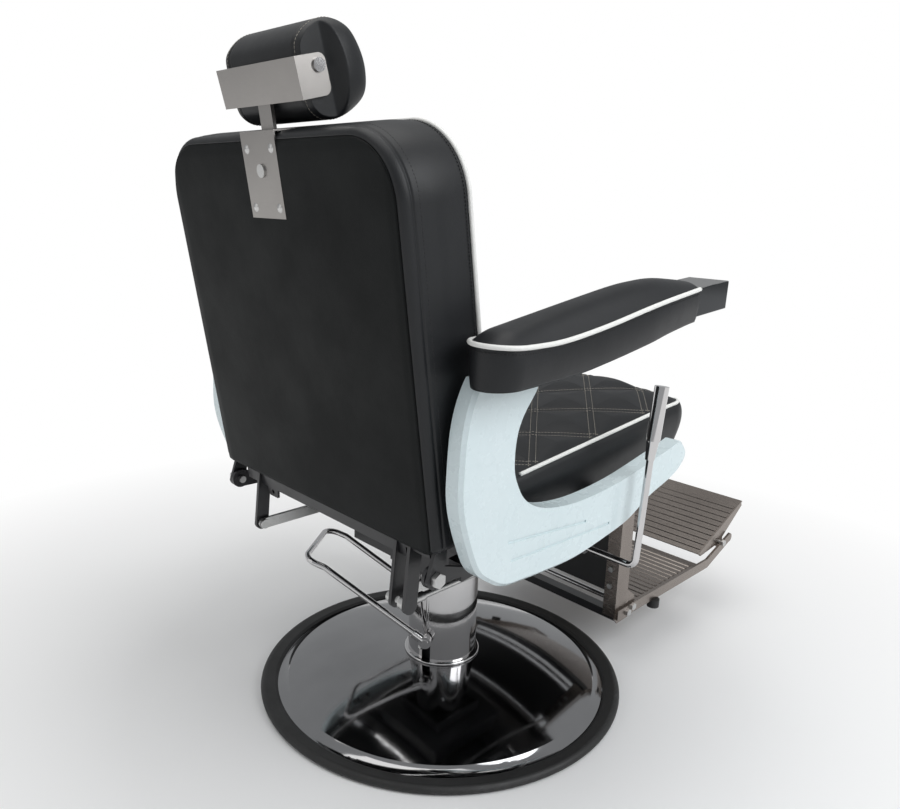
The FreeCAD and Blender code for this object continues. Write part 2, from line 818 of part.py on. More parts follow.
def is_smooth(shape, edge):
    # True where the two faces that meet at the edge share a tangent plane.
    faces = shape.ancestorsOfType(edge, Part.Face)
    if len(faces) < 2:
        return True
    point = edge.valueAt((edge.FirstParameter + edge.LastParameter) / 2)
    normals = []
    for face in faces[:2]:
        u, v = face.Surface.parameter(point)
        normals.append(face.normalAt(u, v))
    return abs(normals[0].dot(normals[1])) > 0.985


def seat_cord(radius):
    # The cord along the seam between the seat's top cover and its boxing.
    x = seat_half_width - 3.6
    f = -seat_front + 60
    r = seat_rear - 26
    return rod_along([(x, r, 0.5), (x, f, 0.5)], radius, 20)


def make_seat_piping():
    feature = several("seat_piping", both_sides(seat_cord(piping_radius)))
    feature.Placement = seat_frame_place
    keep(feature)


# ---- side frames and arms

FRAME_OUTER = [
    (222, 492), (243, 479.5), (248.5, 466), (239.5, 449), (220.5, 435), (175, 418.5), (142.5, 407.5),
    (95.5, 384.5), (44, 371), (-5, 361.5), (-52, 356), (-96.5, 355.5), (-136, 356), (-161, 357),
    (-181.5, 358), (-201.5, 363.5), (-221, 375), (-240.5, 390), (-257, 418.5), (-269, 449.5),
    (-277.5, 478.5), (-281.5, 505.5), (-281.5, 531.5), (-280.5, 557), (-278.5, 582), (-274, 606),
    (-266, 629.5), (-254, 652),
]
FRAME_INNER = [
    (-146, 659), (-146, 634), (-168, 602.5), (-182.5, 571.5), (-185.5, 541), (-183, 517),
    (-177, 502.5), (-166, 484), (-139.5, 464), (-117.5, 456), (-85, 450), (-39, 447.5), (8.5, 450),
    (58.5, 456), (110.5, 466), (151, 475), (193.5, 484),
]


def spline_edge(points, place):
    curve = Part.BSplineCurve()
    curve.interpolate([place(p) for p in points])
    return curve.toShape()


def arm_bottom(y):
    # Height of the arm pad's underside at this depth.
    line = [(285, 649.991), (146, 659), (70, 674), (-21, 693), (-70, 699), (-108, 702),
            (-134, 704), (-160, 708)]
    for (y0, z0), (y1, z1) in zip(line, line[1:]):
        if y <= y0 and y >= y1:
            return z0 + (z1 - z0) * (y - y0) / (y1 - y0)
    return line[0][1] if y > line[0][0] else line[-1][1]


def frame_side_face(x, shrink):
    def place(p):
        return V(x, -p[0], p[1])
    outer = spline_edge(FRAME_OUTER, place)
    inner = spline_edge(FRAME_INNER, place)
    top = Part.LineSegment(place(FRAME_OUTER[-1]), place(FRAME_INNER[0])).toShape()
    nose = Part.LineSegment(place(FRAME_INNER[-1]), place(FRAME_OUTER[0])).toShape()
    return Part.Face(Part.Wire(Part.__sortEdges__([outer, top, inner, nose])))


def make_side_frames():
    x0 = frame_face - frame_gauge
    face = frame_side_face(x0, 0)
    blank = face.extrude(X_AXIS * frame_gauge)
    # The bevel runs along the outer outline of the face that looks away from the seat.
    face_edges = [e for e in blank.Edges if abs(e.CenterOfMass.x - frame_face) < 1e-3]
    longest = max(face_edges, key=lambda e: e.Length)
    cast = blank.makeChamfer(frame_bevel, [longest])
    holes = []
    for seat, direction in frame_bolt_seats():
        if seat.x > 0:
            holes.append(bar(tuple(seat), (1, 0, 0), 4, 20))
    for hole in holes:
        cast = cast.cut(hole)
    for points in (((-190, 424), (-20, 412)), ((-182, 396), (40, 394))):
        a, b = [V(frame_face, -p[0], p[1]) for p in points]
        groove = rod_along([tuple(a), tuple(b)], 2.2, 5)
        cast = cast.cut(groove)
    cast = cast.removeSplitter()
    keep(shaped("side_frame_left", cast))
    keep(shaped("side_frame_right", mirrored(cast)))


def pad_plan(inset, low_inset=0.0):
    inner = pad_inner + inset
    outer = pad_outer - inset
    rear = pad_rear - inset
    front = -pad_front + (inset if inset else 0)
    mid = (inner + outer) / 2
    shoulder = rear - (outer - inner) / 2
    return [(inner, front), (outer - 8, front), ((outer - 1.5, front + 60), (outer, front + 130)),
            (outer, shoulder), ((mid, rear), (inner, shoulder))]


def pad_underside(lift):
    ys = [pad_rear + 10, 146, 70, -21, -70, -108, -134, -pad_front - 5]
    return [(y, arm_bottom(y) + lift) for y in ys]


def arm_top(y):
    # Height of the arm pad's piping line at this depth.
    line = [(284, 699), (218, 698), (161, 699), (81, 712), (-7, 729), (-55, 736), (-105, 742.5),
            (-165, 749.5)]
    for (y0, z0), (y1, z1) in zip(line, line[1:]):
        if y <= y0 and y >= y1:
            return z0 + (z1 - z0) * (y - y0) / (y1 - y0)
    return line[0][1] if y > line[0][0] else line[-1][1]


def make_arm_pads():
    under = pad_underside(0.0)
    crown_line = [(-pad_front - 5, 757), (-127, 761), (-74, 764.5), (-25, 762), (22, 757), (107, 742),
                  (184, 728), (220, 722), (pad_rear + 10, 710)]
    side = slab(under + crown_line, "YZ", pad_inner - 10, pad_outer - pad_inner + 20)
    plan = slab(pad_plan(0.0), "XY", 600, 200)
    body = plan.common(side)
    board = slab(pad_underside(-2) + [(y, z + arm_board_gauge + 0.3) for y, z in reversed(pad_underside(0))],
                 "YZ", pad_inner + 4, pad_outer - pad_inner - 8)
    board_room = slab(pad_plan(6.0), "XY", 600, 200).common(board)
    body = body.cut(board_room).removeSplitter()
    body = soften(body, 14, lambda e: e.CenterOfMass.z > arm_top(e.CenterOfMass.y) + 2
                  and e.CenterOfMass.y > -pad_front + 2)
    keep(shaped("arm_pad_left", body))
    keep(shaped("arm_pad_right", mirrored(body)))
    keep(several("arm_piping", both_sides(arm_cord(piping_radius))))

    wood = slab(pad_underside(0.0) + [(y, z + arm_board_gauge) for y, z in reversed(pad_underside(0))],
                "YZ", pad_inner + 4, pad_outer - pad_inner - 8)
    wood = slab(pad_plan(6.3), "XY", 600, 200).common(wood).removeSplitter()
    keep(several("arm_boards", both_sides(wood)))


def make_arm_caps():
    y0 = -pad_front
    y1 = y0 - cap_length
    z0 = 750.0
    rise = 8.0
    shell = [(y0, z0), (y1, z0 + rise), (y1 + 2, z0 + rise - cap_height - 2), (y0, z0 - cap_height - 2)]
    solid = slab(shell, "YZ", cap_inner, cap_outer - cap_inner)
    wall = 3.0
    room = [(y0 + 1, z0 - wall), (y1 + wall, z0 + rise - wall - 0.2), (y1 + wall + 2, z0 + rise - cap_height + 1),
            (y0 + 1, z0 - cap_height + 1)]
    solid = solid.cut(slab(room, "YZ", cap_inner + wall, cap_outer - cap_inner - 2 * wall))
    solid = soften(solid, 2, lambda e: e.CenterOfMass.y < y1 + 1 or abs(e.CenterOfMass.y - (y0 + y1) / 2) < 3)
    keep(several("arm_caps", both_sides(solid)))


def arm_cord(radius):
    # The cord follows the pad's outline at the height where the top cover meets the boxing.
    mid = (pad_inner + pad_outer) / 2
    half = (pad_outer - pad_inner) / 2 + radius + soft_gap
    shoulder = pad_rear - (pad_outer - pad_inner) / 2
    points = []
    for y, taper in ((-pad_front + 0.5, 8), (-93, 1.5), (-23, 0), (81, 0), (161, 0), (218, 0)):
        points.append(V(mid + half - taper, y, arm_top(y)))
    for angle in (0, 30, 60, 90, 120, 150, 180):
        t = math.radians(angle)
        points.append(V(mid + half * math.cos(t), shoulder + half * math.sin(t), arm_top(shoulder)))
    for y in (218, 161, 81, -23, -93, -pad_front + 0.5):
        points.append(V(mid - half, y, arm_top(y)))
    curve = Part.BSplineCurve()
    curve.interpolate(points)
    path = Part.Wire([curve.toShape()])
    heading = curve.tangent(curve.FirstParameter)[0]
    profile = Part.Wire([Part.Circle(points[0], heading, radius).toShape()])
    # The section keeps level along the cord, so it doesn't twist where the pad's line dips.
    sweep = Part.BRepOffsetAPI.MakePipeShell(path)
    sweep.setBiNormalMode(V(0, 0, 1))
    sweep.add(profile)
    sweep.build()
    sweep.makeSolid()
    return sweep.shape()


# ---- back

def back_outline(inset, top_inset=0.0):
    low = back_half_low - inset
    high = back_half_top - inset
    top = back_length - inset
    r = max(back_corner - inset, 10)
    k = 1 - math.sqrt(0.5)
    base = inset if inset else 0.0
    return [(-low, base), (low, base), (high, top - r), ((high - r * k, top - r * k), (high - r, top)),
            (-high + r, top), ((-high + r * k, top - r * k), (-high, top - r))]


def make_back_cushion():
    # Local frame: x across, y out of the rear, z up along the back.
    plan = slab(back_outline(0.0), "XZ", -back_thick_low - 40, back_thick_low + 40)
    top = back_length
    side = [(0, 0), (0, top + 5), (-back_thick_top + 14, top + 5), (-back_thick_top + 14, top - 2),
            ((-back_thick_top - 6, top - 60), (-back_thick_top - 14, top - 130)),
            ((-back_thick_low + 6, top * 0.42), (-back_thick_low - 4, 70)),
            ((-back_thick_low + 4, 22), (-back_thick_low + 30, 0))]
    profile = slab(side, "YZ", -back_half_top - 5, 2 * back_half_top + 10)
    w = back_half_top + 3
    n = -back_thick_low
    crown = [(-w, 2), (-w, n + 36), ((-w * 0.95, n + 20), (-w * 0.82, n + 8)),
             ((0, n - 12), (w * 0.82, n + 8)), ((w * 0.95, n + 20), (w, n + 36)), (w, 2)]
    across = slab(crown, "XY", -5, top + 10)
    body = plan.common(profile).common(across)
    room = slab(back_outline(10.0), "XZ", -pocket_depth, pocket_depth + 5)
    lower_room = Part.makeBox(2 * (back_half_low - 11), pocket_depth, 30,
                              V(-(back_half_low - 11), -pocket_depth, -5))
    body = body.cut(room).cut(lower_room).removeSplitter()
    for groove in both_sides(back_cord(piping_radius + seam_gap)):
        body = body.cut(groove)
    n = post_line()
    body = body.cut(Part.makeBox(post_width + 1, post_gauge + 1, 40,
                                 V(-post_width / 2 - 0.5, n - post_gauge / 2 - 0.5, top - 30)))
    feature = shaped("back_cushion", body)
    feature.Placement = back_place
    keep(feature)


def make_back_panel():
    low = guide_low()
    holes = [(x, u, 2) for x in (-30, 30) for u in (low + 14, low + guide_length - 20)]
    holes.append((0, low + 62, 5))
    body = padded_body("back_panel", "XZ_Plane", back_outline(10.4), panel_gauge, 0.0, holes,
                       "Sizes.panel_gauge")
    body.Placement = back_place.multiply(FreeCAD.Placement(V(0, 0, 0), FreeCAD.Rotation()))
    keep(body)


def back_layer():
    # Rear and front planes of the steel frame behind the panel.
    rear = -panel_gauge
    return rear - tube_side, rear


def make_back_frame():
    front, rear = back_layer()
    tubes = []
    outer = back_half_low - 11 - 1 - hinge_bar_gauge
    for side in (1, -1):
        x0 = outer - tube_side
        tubes.append(box("back_tube_%d" % (side > 0), (x0 if side > 0 else -outer, front, 4),
                         (outer if side > 0 else -x0, rear, 440), back_place))
    for index, u in enumerate((4, 210, 420)):
        tubes.append(box("back_cross_%d" % index, (-outer + 5, front, u), (outer - 5, rear, u + tube_side),
                         back_place))
    bars = []
    pivot = back_local(back_pivot_y, back_pivot_z)
    mid = (front + rear) / 2
    half = tube_side / 2
    for side in (1, -1):
        x0 = outer if side > 0 else -outer - hinge_bar_gauge
        strip = [(mid - half, 140), (mid + half, 140), (mid + half, 0), (pivot[0] + 15, pivot[1]),
                 ((pivot[0], pivot[1] - 15), (pivot[0] - 15, pivot[1])), (mid - half, -6)]
        piece = slab(strip, "YZ", x0, hinge_bar_gauge)
        hole = bar((x0 - 5, pivot[0], pivot[1]), (1, 0, 0), 6 + running_gap, hinge_bar_gauge + 10)
        bars.append(piece.cut(hole))
    hinge = several("hinge_bars", bars)
    hinge.Placement = back_place
    levers = []
    lever_x = link_x + link_gauge / 2 + play
    foot = back_local(back_pivot_y, back_pivot_z - lever_drop)
    for x0, hole_radius in ((lever_x, 5), (-lever_x - link_gauge, 5)):
        strip = [(mid - half, 12), (mid + half, 12), (mid + half, 2), (foot[0] + 12, foot[1]),
                 ((foot[0], foot[1] - 12), (foot[0] - 12, foot[1])), (mid - half, -10)]
        levers.append(slab(strip, "YZ", x0, link_gauge).cut(
            bar((x0 - 3, foot[0], foot[1]), (1, 0, 0), 5, link_gauge + 6)))
    strut_lever = -strut_x - 7 - link_gauge
    strip = [(mid - half, 12), (mid + half, 12), (mid + half, 2), (foot[0] + 12, foot[1]),
             ((foot[0], foot[1] - 12), (foot[0] - 12, foot[1])), (mid - half, -10)]
    levers.append(slab(strip, "YZ", strut_lever, link_gauge))
    lever_set = several("back_levers", levers)
    lever_set.Placement = back_place
    skirt = back_skirt()
    notch = doc.addObject("Part::Box", "channel_notch")
    width = post_width + 0.6 + 2 * channel_wall
    notch.Length = width
    notch.Width = post_gauge + 0.6 + 2 * channel_wall
    notch.Height = 60
    notch.Placement = back_place.multiply(FreeCAD.Placement(
        V(-width / 2, post_line() - post_gauge / 2 - 0.3 - channel_wall, 400), FreeCAD.Rotation()))
    keep(cut("back_frame", fused("back_weldment", tubes + [hinge, lever_set, skirt]), notch))


def back_skirt():
    front, rear = back_layer()
    plate = slab([(-200, -29), (225, -29), (225, 3.6), (-250, 3.6), (-250, -14), (-200, -14)], "XZ",
                 rear - 4, 4)
    lip = Part.makeBox(420, tube_side - 2, 3.6, V(-230, front + 2, 0))
    skirt = plate.fuse(lip)
    ear = slab([(132, -26), (164, -26), (160, -44), (136, -44)], "XZ", rear - 4, 4)
    bolt_hole = bar((148, rear - 10, -35), (0, 1, 0), 4, 20)
    skirt = skirt.fuse(ear).cut(bolt_hole).removeSplitter()
    feature = shaped("back_skirt", skirt)
    feature.Placement = back_place
    return feature


def back_cord(radius):
    # The cord along one side, where the front cover meets the boxing.
    low = 40.0
    high = back_length - 115
    slope = (back_half_top - back_half_low) / back_length
    foot = V(back_half_low + slope * low - 0.4, -back_thick_low + 41, low)
    head = V(back_half_low + slope * high - 0.4, -back_thick_low + 41, high)
    return bar(tuple(foot), tuple(head - foot), radius, (head - foot).Length)


def make_back_piping():
    feature = several("back_piping", both_sides(back_cord(piping_radius)))
    feature.Placement = back_place
    keep(feature)


# ---- headrest

def guide_low():
    return back_length - guide_length


def make_headrest_guide():
    w = guide_half_width
    top = back_length
    low = guide_low()
    plate = Part.makeBox(2 * w, guide_gauge, guide_length, V(-w, 0.3, low))
    fold = Part.makeBox(2 * w, 40 + guide_gauge, guide_gauge, V(-w, -40 + 0.3, top + 0.3))
    rise = Part.makeBox(2 * w, guide_gauge, guide_gauge + 0.6, V(-w, 0.3, top - 0.3))
    shape = plate.fuse(fold).fuse(rise)
    n = post_line()
    slot = Part.makeBox(post_width + 1, post_gauge + 1, 30,
                        V(-post_width / 2 - 0.5, n - post_gauge / 2 - 0.5, top - 10))
    shape = shape.cut(slot)
    shape = shape.cut(bar((0, -5, low + 62), (0, 1, 0), 9, 12))
    for x in (-30, 30):
        for u in (low + 14, low + guide_length - 20):
            shape = shape.cut(bar((x, -5, u), (0, 1, 0), 3, 12))
    feature = shaped("headrest_guide", shape.removeSplitter())
    feature.Placement = back_place
    keep(feature)


def post_line():
    # Distance of the post's middle plane from the rear face of the back.
    return -panel_gauge - post_gauge / 2 - 6


def make_guide_screws():
    low = guide_low()
    screws = []
    for x in (-30, 30):
        for u in (low + 14, low + guide_length - 20):
            head = Part.makeSphere(9, V(x, guide_gauge + 0.3 - 6.6, u))
            head = head.common(Part.makeBox(20, 10, 20, V(x - 10, guide_gauge + 0.3, u - 10)))
            shank = bar((x, guide_gauge + 0.3, u), (0, -1, 0), 2, 11)
            screws.append(head.fuse(shank).removeSplitter())
    feature = several("guide_screws", screws)
    feature.Placement = back_place
    keep(feature)


def make_lock_button():
    low = guide_low() + 62
    ring = bar((0, 0.3, low), (0, 1, 0), 8.9, 4.5)
    stem = bar((0, 0.3, low), (0, -1, 0), 5, panel_gauge + 2)
    feature = shaped("lock_button", ring.fuse(stem).removeSplitter())
    feature.Placement = back_place
    keep(feature)


def make_post_channel():
    # A folded steel channel behind the panel, screwed to the frame's upper cross tube.
    n = post_line()
    inner_w = post_width / 2 + 0.3
    wall = channel_wall
    front, rear = back_layer()
    low = guide_low() - 150
    high = back_length - 14
    depth_front = n - post_gauge / 2 - 0.3
    depth_rear = n + post_gauge / 2 + 0.3
    outer = Part.makeBox(2 * (inner_w + wall), depth_rear - depth_front + 2 * wall, high - low,
                         V(-inner_w - wall, depth_front - wall, low))
    inner = Part.makeBox(2 * inner_w, depth_rear - depth_front, high - low + 2,
                         V(-inner_w, depth_front, low - 1))
    shape = outer.cut(inner)
    feature = shaped("post_channel", shape)
    feature.Placement = back_place
    keep(feature)


def bracket_place():
    # The bracket's own frame: its rear plate's lower edge, leaning with the headrest.
    foot = back_point(0, post_line() + post_gauge / 2, back_length + 33)
    return FreeCAD.Placement(foot, FreeCAD.Rotation(X_AXIS, -head_tilt))


def make_post():
    n = post_line()
    low = guide_low() - 100
    high = back_length + 33
    strip = Part.makeBox(post_width, post_gauge, high - low, V(-post_width / 2, n - post_gauge / 2, low))
    for index in range(3):
        u = low + 20 + 24 * index
        strip = strip.cut(bar((0, n - 5, u), (0, 1, 0), 3, 10))
    strip.Placement = back_place
    # The top is bent to lie flat on the bracket's inner face.
    tab = Part.makeBox(post_width, post_gauge, 28, V(-post_width / 2, -post_gauge, 0))
    tab.Placement = bracket_place().multiply(tab.Placement)
    knee = Part.makeCylinder(post_gauge, post_width, V(-post_width / 2, 0, 0), X_AXIS)
    knee = knee.common(Part.makeBox(post_width, post_gauge, 2 * post_gauge,
                                    V(-post_width / 2, -post_gauge, -post_gauge)))
    knee.Placement = bracket_place().multiply(knee.Placement)
    keep(shaped("headrest_post", strip.fuse(tab).fuse(knee).removeSplitter()))


def make_headrest_bracket():
    w = bracket_half_width
    t = bracket_gauge
    shape = Part.makeBox(2 * w, t, bracket_height, V(-w, 0, 0))
    ear = [(0, 0), (0, bracket_height), (-ear_depth + 10, bracket_height),
           ((-ear_depth + 3, bracket_height - 3), (-ear_depth, bracket_height - 10)),
           (-ear_depth, 10), ((-ear_depth + 3, 3), (-ear_depth + 10, 0))]
    for x0 in (-w, w - t):
        shape = shape.fuse(slab(ear, "YZ", x0, t))
    pivot = head_pivot_local()
    shape = shape.cut(bar((-w - 5, pivot[0], pivot[1]), (1, 0, 0), 5 + running_gap, 2 * w + 10))
    feature = shaped("headrest_bracket", shape.removeSplitter())
    feature.Placement = bracket_place()
    keep(feature)


def head_pivot_local():
    return -ear_depth + 12.0, bracket_height - 14.0


def head_profile():
    # The pad's end shape in the bracket's frame: flat at the rear, round everywhere else.
    return [(-9, 2), (-9, 48), ((-13, 68), (-36, 83)), ((-64, 88), (-92, 72)), ((-105, 45), (-106, 18)),
            ((-99, -10), (-74, -24)), ((-48, -30), (-26, -26)), ((-13, -16), (-9, 2))]


def make_headrest_pad():
    w = head_half_width
    core = slab(head_profile(), "YZ", -w, 2 * w)
    plan = [(-w + 19, 0), (w - 19, 0), ((w - 3, -20), (w, -50)), ((w - 5, -90), (w - 22, -110)),
            (-w + 22, -110), ((-w + 5, -90), (-w, -50)), ((-w + 3, -20), (-w + 19, 0))]
    pad = core.common(slab(plan, "XY", -60, 200))
    t = bracket_gauge
    room_x = bracket_half_width - t - play - 0.6
    for side in (1, -1):
        x0 = room_x if side > 0 else -room_x - 40
        # The room reaches above the ear, which leans up into it as the pad tips.
        room = Part.makeBox(40, ear_depth + 4, bracket_height + 20, V(x0, -ear_depth - 4, -4))
        pad = pad.cut(room)
    board = Part.makeBox(2 * room_x - 20, 16, 44, V(-room_x + 10, -26, 4))
    pad = pad.cut(board)
    pivot = head_pivot_local()
    pad = pad.cut(bar((-w - 5, pivot[0], pivot[1]), (1, 0, 0), 5, 2 * w + 10))
    pad = pad.removeSplitter()
    feature = shaped("headrest_pad", pad)
    feature.Placement = bracket_place()
    keep(feature)

    plywood = Part.makeBox(2 * room_x - 20, 16, 44, V(-room_x + 10, -26, 4))
    shaft = bar((-w - 5, pivot[0], pivot[1]), (1, 0, 0), 5, 2 * w + 10)
    plywood = plywood.cut(shaft)
    feature = shaped("headrest_board", plywood.removeSplitter())
    feature.Placement = bracket_place()
    keep(feature)


def make_head_pivots():
    w = bracket_half_width
    pivot = head_pivot_local()
    pins = []
    for side in (1, -1):
        inner = bar((side * (w - 60), pivot[0], pivot[1]), (side, 0, 0), 5, 60)
        head = bar((side * (w + 0.3), pivot[0], pivot[1]), (side, 0, 0), 8.5, 3)
        neck = bar((side * (w - 1), pivot[0], pivot[1]), (side, 0, 0), 5, 3)
        pins.append(inner.fuse(neck).fuse(head).removeSplitter())
    feature = several("headrest_pivots", pins)
    feature.Placement = bracket_place()
    keep(feature)


# ---- pivots on the seat frame

def hinge_lugs():
    pivot = (back_pivot_y, back_pivot_z)
    low, high = frame_w()
    a = seat_point(0, 150, low + 3)
    b = seat_point(0, 150, high - 2)
    c = seat_point(0, 222, high - 2)
    outer = back_half_low - 11 - 1
    x0 = rail_half_span
    thickness = outer - hinge_bar_gauge - play - x0
    path = [(a.y, a.z), (pivot[0] - 6, pivot[1] - 15), ((pivot[0] + 15, pivot[1]), (pivot[0] - 6, pivot[1] + 15)),
            (c.y, c.z), (b.y, b.z)]
    plates = []
    for side in (1, -1):
        start = x0 if side > 0 else -x0 - thickness
        plate = slab(path, "YZ", start, thickness)
        plates.append(plate.cut(bar((start - 5, pivot[0], pivot[1]), (1, 0, 0), 6, thickness + 10)))
    bolts = []
    for side in (1, -1):
        seat = (side * (outer + 0.4), pivot[0], pivot[1])
        bolts.append(hex_bolt(seat, (side, 0, 0), 6, outer + 0.4 - x0 + 8, 19, 8))
    return plates, bolts


def leg_lugs():
    pivot = (-leg_pivot_y, leg_pivot_z)
    low, high = frame_w()
    front = -seat_front + 45
    a = seat_point(0, front, low)
    b = seat_point(0, front + 28, low)
    x0 = leg_half_width + play
    path = [(a.y, a.z), (b.y, b.z), (pivot[0] + 16, pivot[1]), ((pivot[0], pivot[1] - 16), (pivot[0] - 16, pivot[1]))]
    plates = []
    bolts = []
    for side in (1, -1):
        start = x0 if side > 0 else -x0 - 6
        plate = slab(path, "YZ", start, 6)
        plates.append(plate.cut(bar((start - 5, pivot[0], pivot[1]), (1, 0, 0), 6, 16)))
        seat = (side * (x0 + 6), pivot[0], pivot[1])
        bolts.append(hex_bolt(seat, (side, 0, 0), 6, 6 + play + leg_gauge + 3, 19, 8))
    return plates, bolts


# ---- footrest

def leg_outline():
    y0 = -leg_rear_y
    top = leg_pivot_z
    return [(y0, leg_bottom_z + 8), (y0, top - 4), ((y0 - 17, top + 17), (y0 - 36, top - 4)),
            (y0 - 38, 150), (y0 - 62, 132), (y0 - 64, leg_bottom_z + 10),
            ((y0 - 60, leg_bottom_z + 2), (y0 - 52, leg_bottom_z)), (y0 - 10, leg_bottom_z - 4)]


def make_leg_plates():
    plates = []
    pivot = (-leg_pivot_y, leg_pivot_z)
    pin = (pivot[0], pivot[1] - lever_drop)
    x0 = leg_half_width - leg_gauge
    plate = slab(leg_outline(), "YZ", x0, leg_gauge)
    flange = Part.makeBox(28, leg_gauge, leg_pivot_z - lever_drop - 18 - leg_bottom_z - 10,
                          V(leg_half_width - 28, -leg_rear_y - leg_gauge, leg_bottom_z + 10))
    plate = plate.fuse(flange)
    plate = plate.cut(bar((x0 - 5, pivot[0], pivot[1]), (1, 0, 0), 6 + running_gap, 20))
    plate = plate.cut(bar((x0 - 5, pin[0], pin[1]), (1, 0, 0), 5, 20))
    for z in panel_bolt_heights():
        plate = plate.cut(bar((leg_half_width - 16, -leg_rear_y - 10, z), (0, 1, 0), 3, 20))
    for y, z in arm_bolt_points():
        plate = plate.cut(bar((x0 - 5, y, z), (1, 0, 0), 4, 20))
    plate = plate.removeSplitter()
    keep(several("leg_plates", both_sides(plate)))


def panel_bolt_heights():
    return (164, 198, 288)


def arm_bolt_points():
    y0 = -leg_rear_y
    return ((y0 - 50, leg_bottom_z + 22), (y0 - 35, leg_bottom_z + 14))


def make_calf_panel():
    x = leg_half_width - leg_gauge - 1
    y0 = -leg_rear_y - leg_gauge
    shoulder = leg_pivot_z - lever_drop - 18
    neck = link_x - link_gauge / 2 - 14
    high = leg_pivot_z - 34
    panel = slab([(-x, 150), (x, 150), (x, shoulder), (neck, shoulder), (neck, high), (-neck, high),
                  (-neck, shoulder), (-x, shoulder)], "XZ", y0 - 12, 12)
    for side in (1, -1):
        for z in panel_bolt_heights():
            panel = panel.cut(bar((side * (leg_half_width - 16), y0 - 10, z), (0, 1, 0), 3, 20))
    keep(shaped("calf_panel", soften(panel, 2.5, lambda e: e.CenterOfMass.y < y0 - 11)))
    bolts = []
    for side in (1, -1):
        for z in panel_bolt_heights():
            seat = (side * (leg_half_width - 16), -leg_rear_y, z)
            bolts.append(hex_bolt(seat, (0, 1, 0), 3, leg_gauge + 9, 10, 3))
    keep(several("panel_bolts", bolts))


def make_leg_bars():
    x = leg_half_width - leg_gauge
    y0 = -leg_rear_y - leg_gauge
    keep(box("leg_cross_bar", (-x, y0 - 22, leg_bottom_z + 3), (x, y0, leg_bottom_z + 19)))
    keep(cylinder("leg_cross_rod", 5, 2 * x, (-x, y0 - 9, leg_bottom_z + 41), (1, 0, 0)))


def arm_line():
    # Upper edge of a platform arm, from the leg to its tip.
    tip = (-turn_pivot_y - 32, turn_pivot_z + 14)
    bend = (-turn_pivot_y + 60, turn_pivot_z - 23)
    root = (-leg_rear_y - 4, leg_bottom_z + 26)
    return root, bend, tip


def make_platform_arms():
    root, bend, tip = arm_line()
    h = 20.0
    x0 = leg_half_width
    thickness = 5.0
    path = [(root[0], root[1]), (bend[0], bend[1]), (tip[0], tip[1]),
            ((tip[0] - 8, tip[1] - 11), (tip[0] + 3, tip[1] - h)), (bend[0] - 3, bend[1] - h), (root[0], root[1] - h)]
    arms = []
    for side in (1, -1):
        start = x0 if side > 0 else -x0 - thickness
        arm = slab(path, "YZ", start, thickness)
        arm = arm.cut(bar((start - 5, -turn_pivot_y, turn_pivot_z), (1, 0, 0), 4, 20))
        for y, z in arm_bolt_points():
            arm = arm.cut(bar((start - 5, y, z), (1, 0, 0), 4, 20))
        arms.append(arm)
    keep(several("platform_arms", arms))
    bolts = []
    for side in (1, -1):
        for y, z in arm_bolt_points():
            bolts.append(hex_bolt((side * (x0 + thickness), y, z), (side, 0, 0), 4, thickness + leg_gauge + 6, 13, 5))
    keep(several("arm_bolts", bolts))


def ribbed_plate(length, half_width, gauge, height, pitch):
    # A plate from y = 0 to -length with raised ribs across it, upper face at z = 0.
    shape = Part.makeBox(2 * half_width, length, gauge, V(-half_width, -length, -gauge))
    count = int((length - pitch) / pitch)
    for index in range(count):
        y = -pitch * (index + 1)
        rib = slab([(y - pitch * 0.32, -0.2), (y + pitch * 0.32, -0.2), (y + pitch * 0.2, height),
                    (y - pitch * 0.2, height)], "YZ", -half_width + 4, 2 * half_width - 8)
        shape = shape.fuse(rib)
    return shape.removeSplitter()


def make_lower_tread():
    root, bend, tip = arm_line()
    slope = math.degrees(math.atan2(bend[1] - root[1], root[0] - bend[0]))
    y0 = -leg_rear_y - 66
    z0 = root[1] + (root[0] - y0) * math.tan(math.radians(slope))
    length = turn_pivot_y - 96 + y0
    half = leg_half_width
    plate = ribbed_plate(length, half, tread_gauge, rib_height, rib_pitch)
    skirts = []
    for side in (1, -1):
        x0 = half - tread_gauge if side > 0 else -half
        skirts.append(Part.makeBox(tread_gauge, length, 14, V(x0, -length, -14)))
    plate = plate.fuse(skirts[0]).fuse(skirts[1]).removeSplitter()
    feature = shaped("lower_tread", plate)
    feature.Placement = FreeCAD.Placement(V(0, y0, z0), FreeCAD.Rotation(X_AXIS, -slope))
    keep(feature)


def make_rubber_feet():
    root, bend, tip = arm_line()
    feet = []
    for side in (1, -1):
        y = -396.0
        under = root[1] - 20 + (root[0] - y) * (bend[1] - root[1]) / (root[0] - bend[0] + 3)
        foot = Part.makeCylinder(12, 20, V(side * (leg_half_width + 2.5), y, under - 16))
        edge = [(root[0], root[1] - 20), (bend[0] - 3, bend[1] - 20), (bend[0] - 3, bend[1] + 40),
                (root[0], root[1] + 40)]
        above = slab(edge, "YZ", side * (leg_half_width + 2.5) - 20, 40)
        feet.append(foot.cut(above).removeSplitter())
    keep(several("rubber_feet", feet))


def turn_tread_place():
    # The turning tread's frame: its rear edge, rising to the front.
    rise = math.radians(turn_tread_rise)
    y = -turn_pivot_y + 94 * math.cos(rise) * 1.0
    z = turn_pivot_z - 6
    return FreeCAD.Placement(V(0, y, z), FreeCAD.Rotation(X_AXIS, -turn_tread_rise))


